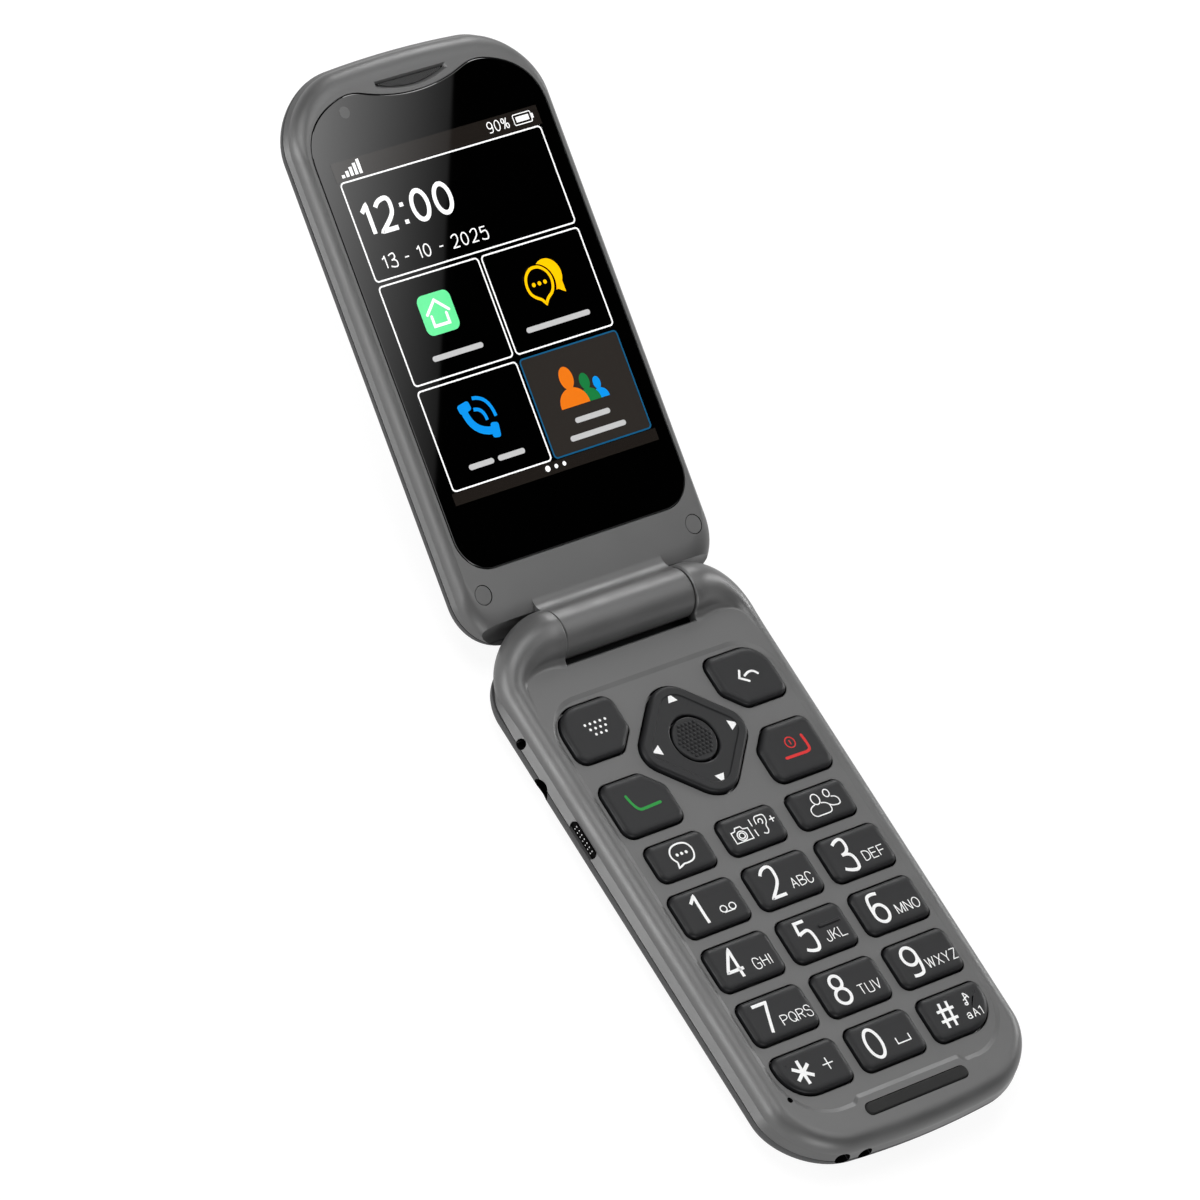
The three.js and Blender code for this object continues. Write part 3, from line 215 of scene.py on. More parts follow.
HOLE_RADIUS = 0.9
CONTACT_XS = (-17.0, -12.6)
CONTACT_Z = SEAM_HEIGHT + 0.4
CONTACT_RADIUS = 1.3
CONTACT_DEPTH = 3
CONTACT_FLANGE = 1.7
CONTACT_RINGS = ((2.9, CONTACT_FLANGE), (2.6, CONTACT_FLANGE), (2.6, 0.7), (2.3, 0.5))
SOCKET_DEPTH = 4.2

# Rubber bar, microphone and the plate that the keys stand in
BAR_Y = KEYPAD_END + 5.85
BAR_SIZE = (21.6, 2.1)
BAR_GAP = 0.12
BAR_HOLE_DEPTH = 1.2
BAR_SUNK = 1.1
BAR_RISE = 0.25
BAR_EDGE = 0.3
MIC_PLACE = (-22.6, KEYPAD_END + 12.05)
MIC_RADIUS = 0.5
PLATE_INSET = 3
PLATE_CORNER = 5
PLATE_SHORT_OF_AXIS = 1

# Back of the base and the battery cover
HOLLOW_INSET = 4.6
BACK_FLOOR = 1.9
COVER_HALF = 20.6
COVER_LOW = KEYPAD_END + 5.8
COVER_HIGH = HINGE_Y - 21
COVER_THICKNESS = 1.1
COVER_CORNER = 2.5
COVER_GAP = 0.3
COVER_LIFT = 0.1
SPEAKER_X = -6
SPEAKER_Y = HINGE_Y - 12.5
SPEAKER_SLOTS = 5
SPEAKER_PITCH = 2.2
SPEAKER_SLOT = (0.9, 5)
SCREW_HOLE_RADIUS = 1.7
SCREW_HOLE_DEPTH = 2.2
BATTERY_GAP = 0.6
BATTERY_WINDOW_TOP = 4
GRIPS = 3
GRIP_START = 3
GRIP_PITCH = 1.3
GRIP_SIZE = (14, 0.6)
GRIP_DEPTH = 0.25

# Lid
LID_HALF = 26.85
LID_REACH = 97.32
LID_DEPTH = 7.2
LID_SEAM_DEPTH = 3.3
LID_FACE = -1.06
LID_BACK = LID_FACE - LID_DEPTH
LID_FAR_CORNER = 13
LID_FAR_CROWN = 1.8
LID_HINGE_CORNER = 8.6
LID_RIM_RADIUS = 2.7
LID_RIM_START = math.radians(30)
LID_FAR_RIM = 3.55
LID_BAND_REACH = 0.5
LID_FACE_END = 7.2
LID_HINGE_END = 1.3
LID_BACK_ROUNDING = 6.65
LID_HINGE_ROUNDING = 4.2
LID_KNUCKLE_GAP = 0.4
LID_HOLLOW_FROM_AXIS = 12.5
LID_PLATE = 1.9
BUSH_RADIUS = 2.5
SHAFT_RADIUS = 3.05
CARTRIDGE_DEPTH = 5
LID_FRAME_BOTTOM = LID_FACE - LID_SEAM_DEPTH + SEAM_GAP / 2
LID_SHELL_TOP = LID_FACE - LID_SEAM_DEPTH - SEAM_GAP / 2
SCREEN_FROM_AXIS = 53.17
GLASS_HALF = 24.3
GLASS_BELOW = 39.9
GLASS_ABOVE = 39
GLASS_SHOULDER = 37.2
GLASS_DIP = 2.6
GLASS_PEAK = 12.5
GLASS_CORNER = 6
GLASS_FAR_CORNER = 10.4
GLASS_GAP = 0.16
GLASS_THICKNESS = 0.85
GLASS_EDGE = 0.2
SENSOR_PLACE = (-15.1, 36.1)
SENSOR_RADIUS = 1
EAR_TOP = 39.15
EAR_HALF = 7.05
EAR_HEIGHT = 1.5
EAR_END = 0.14
EAR_DEPTH = 0.55
EAR_HOLE_DEPTH = 1.5
EAR_LIP = 0.4
WEAVE_CELL = 0.4
WEAVE_WIRE = 0.1
WEAVE_GAP = 0.1
WEAVE_START = 1
WEAVE_SAMPLES = 24
WEAVE_END_SHARE = 0.94
WEAVE_EDGE = 0.06
EAR_BACKING = (-0.6, -0.05)
PLUG_RADIUS = 1.58
PLUG_X = 22.4
PLUG_Y = SCREEN_FROM_AXIS - 43.5
PLUG_PLACES = {"lid_plug_1": (-PLUG_X, PLUG_Y), "lid_plug_2": (PLUG_X, PLUG_Y)}
PLUG_GAP = 0.1
PLUG_HOLE_DEPTH = 1.4
PLUG_DEPTH = 0.7
PLUG_EDGE = 0.15

# Back of the lid
LID_CAVITY_FROM_AXIS = 13.5
CAMERA_ABOVE = 27
FLASH_X = 8
WINDOW_RADIUS = 3.5
WINDOW_DEPTH = 0.9
LENS_RADIUS = 2.4
FLASH_RADIUS = 1.5

# Camera, solved from the photograph: its place from the middle of the hinge axis, and its turn
CAMERA_FROM_HINGE = Vector((-795.42, -368.863, 951.159))
CAMERA_PLACE_M = (Vector((0, HINGE_Y, HINGE_Z)) + CAMERA_FROM_HINGE) * MM
CAMERA_TURN = Euler([math.radians(a) for a in (35.81062, -24.98373, -34.56441)], "XYZ")
CAMERA_SENSOR = 36
CAMERA_LENS = 243.73
CAMERA_REACH_M = 20

# Studio: strengths, and the lamps as name, direction from the hinge, size and power
FLOOR_HALF = 4000
FLOOR_THICKNESS = 1
FLOOR_DROP = 0.01
FLOOR_GLOW_SHARE = 0.8
FLOOR_GLOW = 1.12
WALL_STRENGTH = 1.0
CEILING_STRENGTH = 0.1
WALL_POWER = 4
LAMP_DISTANCE_M = 1.2
LAMPS = (
    ("top_lamp", (-0.34, 0.3, 0.9), 0.7, 5.9),
    ("rear_lamp", (0.62, 0.66, 0.43), 0.42, 4.2),
    ("side_lamp", (-0.93, 0.3, 0.3), 0.7, 8.5),
    ("front_lamp", (-0.25, -0.9, 0.3), 0.6, 4),
    ("edge_lamp", (1.0, 0.05, 0.33), 0.35, 3.6),
)

# The gleam: its edge and its brightest corner on the glass, and how far it has faded one reach away
GLEAM_EDGE = ((8.6, 37.5), (-24, -25.5))
GLEAM_START = (-22.9, 32.5)
GLEAM_REACH = 20
GLEAM_ACROSS_SHARE = 0.486
GLEAM_DOWN_SHARE = 0.266
CARD_DISTANCE_M = 0.6
CARD_HALF_M = 0.3
CARD_EDGE_M = 0.0008
CARD_STRENGTH = 3.6

# Fineness of the curves
CORNER_STEPS = 22
END_STEPS = 12
KEY_CORNER_STEPS = 9
ARC_STEPS = 16
ROUND_STEPS = 96
SMALL_ROUND_STEPS = 40
SMOOTH_ANGLE = math.radians(16)
MERGE_DISTANCE = 0.0005

# Reach of the cutting tools
OVERRUN = 2
FAR = 60
HAIR = 1e-6


# Meshes


def new_object(name, points, faces):
    """An object from points in millimetres, with its faces turned outwards."""
    mesh = bpy.data.meshes.new(name)
    mesh.from_pydata([tuple(c * MM for c in p) for p in points], [], faces)
    made = bpy.data.objects.new(name, mesh)
    bpy.context.scene.collection.objects.link(made)
    clean(made)
    return made


def clean(made):
    shape = bmesh.new()
    shape.from_mesh(made.data)
    bmesh.ops.remove_doubles(shape, verts=shape.verts, dist=MERGE_DISTANCE * MM)
    bmesh.ops.recalc_face_normals(shape, faces=shape.faces)
    shape.to_mesh(made.data)
    shape.free()


def skin(rings, wrapped=False):
    """Points and faces over rings of equally many points. Wrapped rings close on the first one."""
    count = len(rings[0])
    points = [p for ring in rings for p in ring]
    faces = []
    for ring in range(len(rings) if wrapped else len(rings) - 1):
        following = (ring + 1) % len(rings)
        for i in range(count):
            j = (i + 1) % count
            faces.append((ring * count + i, ring * count + j, following * count + j, following * count + i))
    if not wrapped:
        faces.append(tuple(reversed(range(count))))
        faces.append(tuple((len(rings) - 1) * count + i for i in range(count)))
    return points, faces


def loft(name, rings, wrapped=False):
    return new_object(name, *skin(rings, wrapped))


def merged(name, shapes, z=0.0):
    """One object from many shapes, each a pair of points and faces."""
    points, faces = [], []
    for shape_points, shape_faces in shapes:
        first = len(points)
        points += [(x, y, height + z) for x, y, height in shape_points]
        faces += [tuple(first + i for i in face) for face in shape_faces]
    return new_object(name, points, faces)


def at_height(outline, z):
    return [(x, y, z) for x, y in outline]


def prism(name, outline, z0, z1):
    return loft(name, [at_height(outline, z0), at_height(outline, z1)])


def cross_prism(name, profile, x0, x1):
    """A profile of (y, z) points, extruded along X."""
    return loft(name, [[(x, y, z) for y, z in profile] for x in (x0, x1)])


def box(name, low, high):
    outline = [(low[0], low[1]), (high[0], low[1]), (high[0], high[1]), (low[0], high[1])]
    return prism(name, outline, low[2], high[2])


def circle(radius, x=0, y=0, steps=ROUND_STEPS):
    turns = [2 * math.pi * i / steps for i in range(steps)]
    return [(x + radius * math.cos(turn), y + radius * math.sin(turn)) for turn in turns]


def cross_ring(radius, x, y, z, steps):
    """A circle that faces along X."""
    return [(x, y + a, z + b) for a, b in circle(radius, steps=steps)]


def end_ring(radius, x, y, z):
    """A circle that faces along Y."""
    return [(x + a, y, z + b) for a, b in circle(radius, steps=SMALL_ROUND_STEPS)]


def cross_rod(name, radius, x0, x1, y, z, edge=0, steps=ROUND_STEPS):
    """A rod along X, with its end edges broken."""
    stations = [(x0, radius - edge), (x0 + edge, radius), (x1 - edge, radius), (x1, radius - edge)]
    return loft(name, [cross_ring(r, x, y, z, steps) for x, r in stations])


def painted(made, finish):
    """Gives a shape its finish, and the black that cuts paint on their walls as painted shade."""
    made.data.materials.append(finish)
    made.data.materials.append(SOCKET_AND_SHADE)
    return made


def painted_shade_walls(tool, finish, below=FAR):
    """A tool whose cut walls are painted black up to a height, as painted shade, in a shape of this finish."""
    painted(tool, finish)
    for face in tool.data.polygons:
        face.material_index = 1 if face.center.z < below * MM else 0
    return tool


def boolean(target, tools, operation):
    group = bpy.data.collections.new("tools")
    bpy.context.scene.collection.children.link(group)
    for tool in tools:
        group.objects.link(tool)
    step = target.modifiers.new("boolean", "BOOLEAN")
    step.operation = operation
    step.solver = "MANIFOLD"
    step.operand_type = "COLLECTION"
    step.collection = group
    result = bpy.data.meshes.new_from_object(target.evaluated_get(bpy.context.evaluated_depsgraph_get()))
    target.modifiers.clear()
    target.data = result
    for tool in tools:
        bpy.data.objects.remove(tool)
    bpy.data.collections.remove(group)
    return target


def cut(target, tools):
    for tool in tools:
        boolean(target, [tool], "DIFFERENCE")
    return target


def join(target, tools):
    for tool in tools:
        boolean(target, [tool], "UNION")
    return target


def overlap(target, tool):
    return boolean(target, [tool], "INTERSECT")


def finished(made, finish, body, slot, *nodes, place=None):
    """Shades, paints and mounts a piece. A lid piece is made with the hinge axis as its origin."""
    if place is not None:
        moved = Matrix.Scale(MM, 4) @ place @ Matrix.Scale(1 / MM, 4)
        made.data.transform(moved)
    made.data.shade_smooth()
    made.data.set_sharp_from_angle(angle=SMOOTH_ANGLE)
    weighted = made.modifiers.new("normals", "WEIGHTED_NORMAL")
    weighted.keep_sharp = True
    if not any(made.data.materials):
        made.data.materials.clear()
        made.data.materials.append(finish)
    if nodes:
        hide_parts(*nodes)
    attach(made, body)
    return made


# Outlines


def capsule(half, low, high, low_corner, high_corner, low_crown=0, high_crown=0):
    """A rounded rectangle whose two ends bow outwards by a crown."""
    points = []
    for side, end in ((1, -1), (1, 1), (-1, 1), (-1, -1)):
        level, radius, crown = (low, low_corner, low_crown) if end < 0 else (high, high_corner, high_crown)
        rising = side * end < 0

        def bowed(x, share):
            return level - end * (radius * (1 - share) + crown * share * (x / half) ** 2)

        for step in range(CORNER_STEPS + 1):
            share = step / CORNER_STEPS if rising else 1 - step / CORNER_STEPS
            angle = (1 - share) * math.pi / 2
            x = side * (half - radius * (1 - math.cos(angle)))
            points.append((x, bowed(x, math.sin(angle))))
        if not rising:
            edge = side * (half - radius)
            for step in range(1, END_STEPS):
                x = edge - 2 * edge * step / END_STEPS
                points.append((x, bowed(x, 1)))
    return points


def rounded(corners, radii, grow=0.0, steps=KEY_CORNER_STEPS):
    """A convex polygon grown outwards, with each corner rounded."""
    count = len(corners)
    edges = []
    for i, corner in enumerate(corners):
        along = (Vector(corners[(i + 1) % count]) - Vector(corner)).normalized()
        out = Vector((along.y, -along.x))
        edges.append((along, out, out.dot(Vector(corner)) + grow))
    points = []
    for i in range(count):
        before, after = edges[i - 1], edges[i]
        radius = max(radii[i] + grow, 0)
        turn = before[0].x * after[0].y - before[0].y * after[0].x
        level0, level1 = before[2] - radius, after[2] - radius
        x = (level0 * after[1].y - level1 * before[1].y) / turn
        y = (level1 * before[1].x - level0 * after[1].x) / turn
        start = math.atan2(before[1].y, before[1].x)
        bend = math.acos(max(-1, min(1, before[1].dot(after[1]))))
        for step in range(steps + 1):
            angle = start + bend * step / steps
            points.append((x + radius * math.cos(angle), y + radius * math.sin(angle)))
    return points


def rectangle(width, height, x=0, y=0):
    w, h = width / 2, height / 2
    return [(x - w, y - h), (x + w, y - h), (x + w, y + h), (x - w, y + h)]


def pill(width, height, x=0, y=0, grow=0):
    """A box with round ends."""
    return rounded(rectangle(width, height, x, y), [min(width, height) / 2] * 4, grow)


def eased(share):
    """A share that starts and ends softly."""
    return share * share * (3 - 2 * share)


def base_outline(inset, rear_inset=None, keypad_inset=None):
    rear_inset = inset if rear_inset is None else rear_inset
    keypad_inset = inset if keypad_inset is None else keypad_inset
    return capsule(
        BASE_HALF - inset, KEYPAD_END + keypad_inset, REAR_END - rear_inset,
        KEYPAD_CORNER - inset, REAR_CORNER - min(rear_inset, inset), KEYPAD_CROWN,
    )


def lid_outline(inset, hinge_end, far_inset=None):
    far_inset = inset if far_inset is None else far_inset
    return capsule(
        LID_HALF - inset, hinge_end, LID_REACH - far_inset,
        LID_HINGE_CORNER - inset, LID_FAR_CORNER - inset, 0, LID_FAR_CROWN,
    )


def quadratic(start, control, end, steps=ARC_STEPS):
    points = []
    for step in range(1, steps + 1):
        t = step / steps
        points.append(tuple(
            (1 - t) ** 2 * a + 2 * t * (1 - t) * b + t ** 2 * c for a, b, c in zip(start, control, end)))
    return points


def arc(x, y, radius, start, end, steps=ARC_STEPS):
    angles = [start + (end - start) * step / steps for step in range(steps + 1)]
    return [(x + radius * math.cos(a), y + radius * math.sin(a)) for a in angles]


def rounding(width, height, steps):
    """A quarter round as (inset, drop) pairs, from the wall to the flat top."""
    turns = [math.pi / 2 * step / steps for step in range(steps + 1)]
    return [(width * (1 - math.cos(turn)), height * (1 - math.sin(turn))) for turn in turns]


def turned(points, degrees, x=0, y=0):
    """The points turned about zero, then moved."""
    cosine, sine = math.cos(math.radians(degrees)), math.sin(math.radians(degrees))
    return [(x + a * cosine - b * sine, y + a * sine + b * cosine) for a, b in points]


def glass_outline(grow):
    half = GLASS_HALF + grow
    corner = GLASS_CORNER + grow
    low = -GLASS_BELOW - grow
    dip = GLASS_ABOVE - GLASS_DIP + grow
    peak = GLASS_ABOVE + grow
    side_end = (half, GLASS_ABOVE - GLASS_FAR_CORNER)
    right = arc(half - corner, low + corner, corner, -math.pi / 2, 0)
    right.append(side_end)
    rise = quadratic(side_end, (half, GLASS_SHOULDER + grow), (GLASS_PEAK, peak))
    fall = quadratic((GLASS_PEAK, peak), (GLASS_PEAK / 2, dip), (0, dip))
    right += rise[:-2] + quadratic(rise[-3], (GLASS_PEAK, peak), fall[2]) + fall[3:]
    left = [(-x, y) for x, y in reversed(right[:-1])]
    return [(x, y + SCREEN_FROM_AXIS) for x, y in right + left]


# Materials

GLASS_ROUGHNESS = 0.015
INK_ROUGHNESS = 0.5
INK_GLOSS = 0.3
NOISE_LOW_SHARE = 0.3
NOISE_HIGH_SHARE = 0.7
LIT_DIM_SHARE = 0.92
LIT_GRAIN = 0.35
SMEAR_SIZE = 14
SMEAR_SHARE = 0.3


def new_material(name, colour, roughness, metallic=0.0):
    made = bpy.data.materials.new(name)
    made.use_nodes = True
    shader = made.node_tree.nodes["Principled BSDF"]
    shader.inputs["Base Color"].default_value = (*colour, 1)
    shader.inputs["Roughness"].default_value = roughness
    shader.inputs["Metallic"].default_value = metallic
    return made, made.node_tree, shader


def noise(tree, grain_size, detail=2.0):
    """Noise whose grains have a real size in millimetres."""
    place = tree.nodes.new("ShaderNodeTexCoord")
    made = tree.nodes.new("ShaderNodeTexNoise")
    made.inputs["Scale"].default_value = 1 / (grain_size * MM)
    made.inputs["Detail"].default_value = detail
    tree.links.new(place.outputs["Object"], made.inputs["Vector"])
    return made.outputs["Fac"]


def spread(tree, factor, low, high):
    made = tree.nodes.new("ShaderNodeMapRange")
    made.inputs["From Min"].default_value = NOISE_LOW_SHARE
    made.inputs["From Max"].default_value = NOISE_HIGH_SHARE
    made.inputs["To Min"].default_value = low
    made.inputs["To Max"].default_value = high
    tree.links.new(factor, made.inputs["Value"])
    return made.outputs["Result"]


def add_grain(tree, shader, grain_size, depth):
    bump = tree.nodes.new("ShaderNodeBump")
    bump.inputs["Strength"].default_value = 1
    bump.inputs["Distance"].default_value = depth * MM
    tree.links.new(noise(tree, grain_size), bump.inputs["Height"])
    tree.links.new(bump.outputs["Normal"], shader.inputs["Normal"])


def add_wear(tree, shader, grain_size, roughness, share):
    wander = noise(tree, grain_size, detail=3)
    worn = spread(tree, wander, roughness * (1 - share), roughness * (1 + share))
    tree.links.new(worn, shader.inputs["Roughness"])


def add_mottle(tree, shader, colour, roughness, grain_size, colour_share, roughness_share):
    """Lets colour and roughness wander a little over the surface."""
    wander = noise(tree, grain_size, detail=4)
    mix = tree.nodes.new("ShaderNodeMix")
    mix.data_type = "RGBA"
    mix.inputs["A"].default_value = (*(c * (1 - colour_share) for c in colour), 1)
    mix.inputs["B"].default_value = (*(c * (1 + colour_share) for c in colour), 1)
    tree.links.new(spread(tree, wander, 0, 1), mix.inputs["Factor"])
    tree.links.new(mix.outputs["Result"], shader.inputs["Base Color"])
    add_wear(tree, shader, grain_size, roughness, roughness_share)


def moulded(name, colour, roughness, grain_size, depth, mottle_size=6.0, colour_share=0.04,
            roughness_share=0.1, metallic=0.0, gloss=0.5):
    made, tree, shader = new_material(name, colour, roughness, metallic)
    shader.inputs["Specular IOR Level"].default_value = gloss
    add_mottle(tree, shader, colour, roughness, mottle_size, colour_share, roughness_share)
    add_grain(tree, shader, grain_size, depth)
    return made


def glowing(name, colour, strength):
    """A lit patch of the display, as glossy as the cover glass that it lies in."""
    made, tree, shader = new_material(name, colour, GLASS_ROUGHNESS)
    mix = tree.nodes.new("ShaderNodeMix")
    mix.data_type = "RGBA"
    mix.inputs["A"].default_value = (*(c * LIT_DIM_SHARE for c in colour), 1)
    mix.inputs["B"].default_value = (*colour, 1)
    tree.links.new(noise(tree, LIT_GRAIN), mix.inputs["Factor"])
    tree.links.new(mix.outputs["Result"], shader.inputs["Base Color"])
    tree.links.new(mix.outputs["Result"], shader.inputs["Emission Color"])
    shader.inputs["Emission Strength"].default_value = strength
    return made


def printed(name, colour):
    """Matt ink on a key."""
    made, tree, shader = new_material(name, colour, INK_ROUGHNESS)
    add_mottle(tree, shader, colour, INK_ROUGHNESS, grain_size=0.4, colour_share=0.05, roughness_share=0.1)
    shader.inputs["Specular IOR Level"].default_value = INK_GLOSS
    return made


def glass_black():
    made, tree, shader = new_material("glass_black", (0.0004, 0.0004, 0.0004), GLASS_ROUGHNESS)
    add_wear(tree, shader, SMEAR_SIZE, GLASS_ROUGHNESS, SMEAR_SHARE)
    return made


def brushed(name, colour, roughness):
    made, tree, shader = new_material(name, colour, roughness, metallic=1.0)
    add_mottle(tree, shader, colour, roughness, grain_size=1.5, colour_share=0.08, roughness_share=0.2)
    add_grain(tree, shader, grain_size=0.25, depth=0.004)
    return made


PAINT = moulded(
    "paint_grey", (0.106, 0.106, 0.106), roughness=0.42, grain_size=0.14, depth=0.005,
    metallic=0.4, colour_share=0.02)
SHELL = moulded(
    "shell_dark", (0.055, 0.055, 0.056), roughness=0.6, grain_size=0.3, depth=0.016, gloss=0.2)
KEY = moulded(
    "key_charcoal", (0.0085, 0.0087, 0.0096), roughness=0.45, grain_size=0.2, depth=0.004,
    mottle_size=3.0, colour_share=0.1, gloss=0.25)
RUBBER = moulded(
    "rubber_black", (0.0095, 0.0095, 0.0095), roughness=0.6, grain_size=0.25, depth=0.012, gloss=0.2)
PLUG = moulded(
    "plug_grey", (0.115, 0.115, 0.115), roughness=0.6, grain_size=0.25, depth=0.01, gloss=0.3)
# Black of the sockets and backings, also laid on cut walls as painted shade in holes and gaps
SOCKET_AND_SHADE = moulded(
    "socket_black", (0.0012, 0.0012, 0.0012), roughness=0.7, grain_size=0.3, depth=0.01, gloss=0.05)
BOARD = moulded(
    "board_green", (0.01, 0.07, 0.03), roughness=0.35, grain_size=0.8, depth=0.03,
    mottle_size=2.0, colour_share=0.3)
WRAP = moulded(
    "battery_wrap", (0.02, 0.02, 0.022), roughness=0.4, grain_size=1.2, depth=0.03,
    mottle_size=4.0, colour_share=0.2)
METAL = brushed("plated_steel", (0.55, 0.55, 0.55), 0.3)
MESH_WIRE = moulded(
    "mesh_wire", (0.05, 0.05, 0.05), roughness=0.4, grain_size=0.2, depth=0.004, metallic=0.5)
GLASS = glass_black()
INK = printed("legend_white", (0.95, 0.95, 0.95))
GREEN_INK = printed("legend_green", (0.002, 0.27, 0.03))
RED_INK = printed("legend_red", (0.68, 0.006, 0.006))
LIT_WHITE = glowing("lit_white", (0.9, 0.9, 0.9), 0.5)
LIT_GREY = glowing("lit_grey", (0.6, 0.6, 0.6), 0.2)
LIT_BROWN = glowing("lit_brown", (0.016, 0.013, 0.011), 0.2)
LIT_TILE = glowing("lit_tile", (0.03, 0.026, 0.023), 0.2)
LIT_BLUE = glowing("lit_blue", (0.005, 0.3, 0.85), 0.3)
LIT_LINE_BLUE = glowing("lit_line_blue", (0.01, 0.11, 0.24), 0.2)
LIT_GREEN = glowing("lit_green", (0.14, 0.8, 0.32), 0.4)
LIT_YELLOW = glowing("lit_yellow", (0.95, 0.52, 0.001), 0.5)
LIT_ORANGE = glowing("lit_orange", (0.85, 0.19, 0.01), 0.3)
LIT_LEAF = glowing("lit_leaf", (0.012, 0.2, 0.05), 0.3)
LIT_BLACK = glowing("lit_black", (0.0006, 0.0006, 0.0006), 0.0)
SENSOR = glowing("sensor_window", (0.05, 0.05, 0.05), 0.0)
SLOT_FINISH = {
    "shell_grey": PAINT, "shell_dark": SHELL, "key_charcoal": KEY, "screen_glass": GLASS,
    "rubber_black": RUBBER, "plug_grey": PLUG, "bright_metal": METAL, "socket_black": SOCKET_AND_SHADE,
    "battery_wrap": WRAP, "board_green": BOARD,
}


def paint_frame():
    """Every CAD node that stays gets the finish of its slot."""
    for part in frame["record"]["subparts"]:
        node = frame["nodes"][part["node"]]
        for place in node.material_slots:
            place.material = SLOT_FINISH[part["material_slot"]]


# The base's front cover


def shoulder_path():
    """Half of the crease's path as (x, y, share), from the barrel to the middle of the keypad end."""
    corner_y = HINGE_Y + KNUCKLE_RADIUS - SHOULDER_CORNER
    path = []
    for step in range(CORNER_STEPS, -1, -1):
        turn = step / CORNER_STEPS
        angle = math.pi / 2 * turn
        x = CREASE_HALF - SHOULDER_CORNER * (1 - math.cos(angle))
        y = corner_y + SHOULDER_CORNER * math.sin(angle) - SHOULDER_CROWN * math.sin(angle) * (1 - turn ** 2)
        path.append((x, y, SHOULDER_START_SHARE + (1 - SHOULDER_START_SHARE) * turn))
    run_steps = ARC_STEPS // 2
    for step in range(1, run_steps + 1):
        share = step / run_steps
        path.append((CREASE_HALF, corner_y - SHOULDER_RUN * share, SHOULDER_START_SHARE * (1 - share)))
    radius = KEYPAD_CORNER - BAND_REACH
    low = KEYPAD_END + KEYPAD_BAND_REACH
    for step in range(CORNER_STEPS + 1):
        angle = math.pi / 2 * step / CORNER_STEPS
        x = CREASE_HALF - radius * (1 - math.cos(angle))
        y = low + radius * (1 - math.sin(angle)) + KEYPAD_CROWN * math.sin(angle) * (x / CREASE_HALF) ** 2
        path.append((x, y, 0))
    edge = CREASE_HALF - radius
    for step in range(1, END_STEPS + 1):
        x = edge * (1 - step / END_STEPS)
        path.append((x, low + KEYPAD_CROWN * (x / CREASE_HALF) ** 2, 0))
    return path


def rim_section(share, out, edge):
    """The rim's closed section as (outward, up) points: foot, facet, arc, fillet, deck, hidden inside."""
    ease = eased(share)
    radius = RIM_RADIUS + (KNUCKLE_RADIUS - RIM_RADIUS) * ease
    height = CREASE_HEIGHT + (HINGE_Z - CREASE_HEIGHT) * ease
    start = -math.pi / 2 * share
    reach = radius - edge
    low = (-radius + reach * math.cos(start), height + reach * math.sin(start))
    foot_z = min(COVER_BOTTOM, low[1] - FOOT_DEPTH)
    facet = (BAND_REACH - BAND_INSET) - (BAND_REACH - KEYPAD_BAND_REACH) * min(out.y, 0) ** 2
    fade = max(0, 1 - share / FACET_END_SHARE)
    tuck = math.tan(min(-start, FOOT_LEAN)) * (low[1] - foot_z) * (1 - fade)
    points = [(low[0] + facet * fade - tuck, foot_z)]
    fillet_z = RIM_TOP + SHOULDER_FILLET
    rise = fillet_z - height
    fillet_u = -radius - math.sqrt(max((reach + SHOULDER_FILLET) ** 2 - rise ** 2, 0))
    top = math.atan2(rise, fillet_u + radius)
    for step in range(2 * ARC_STEPS + 1):
        angle = start + (top - start) * step / (2 * ARC_STEPS)
        points.append((-radius + reach * math.cos(angle), height + reach * math.sin(angle)))
    for step in range(1, ARC_STEPS + 1):
        contact = top - math.pi
        angle = contact + (-math.pi / 2 - contact) * step / ARC_STEPS
        points.append((
            fillet_u + SHOULDER_FILLET * math.cos(angle),
            fillet_z + SHOULDER_FILLET * math.sin(angle),
        ))
    inner = fillet_u - RIM_INSIDE
    points.append((inner, RIM_TOP))
    points.append((inner, PLATE_BOTTOM))
    points.append((low[0] - WALL, PLATE_BOTTOM))
    points.append((points[0][0] - WALL, foot_z))
    return points


def rim_strip():
    """The rim and both shoulders in one piece, from one side of the barrel round to the other."""
    half = shoulder_path()
    path = half + [(-x, y, share) for x, y, share in reversed(half[:-1])]
    ends = [(POCKET_HALF, SHOULDER_EDGE), (POCKET_HALF + SHOULDER_EDGE / 3, SHOULDER_EDGE / 3),
            (POCKET_HALF + SHOULDER_EDGE, 0)]
    rear_y = HINGE_Y + KNUCKLE_RADIUS
    start = [(x, rear_y, 1, edge) for x, edge in ends]
    finish = [(-x, rear_y, 1, edge) for x, edge in reversed(ends)]
    stations = start + [(x, y, share, 0) for x, y, share in path] + finish
    rings = []
    for i, (x, y, share, edge) in enumerate(stations):
        before = stations[max(i - 1, 0)]
        after = stations[min(i + 1, len(stations) - 1)]
        along = Vector((after[0] - before[0], after[1] - before[1])).normalized()
        out = Vector((-along.y, along.x))
        if i < len(start) or i >= len(stations) - len(finish):
            out = Vector((0, 1))
        rings.append([(x + u * out.x, y + u * out.y, z) for u, z in rim_section(share, out, edge)])
    return loft("rim", rings)


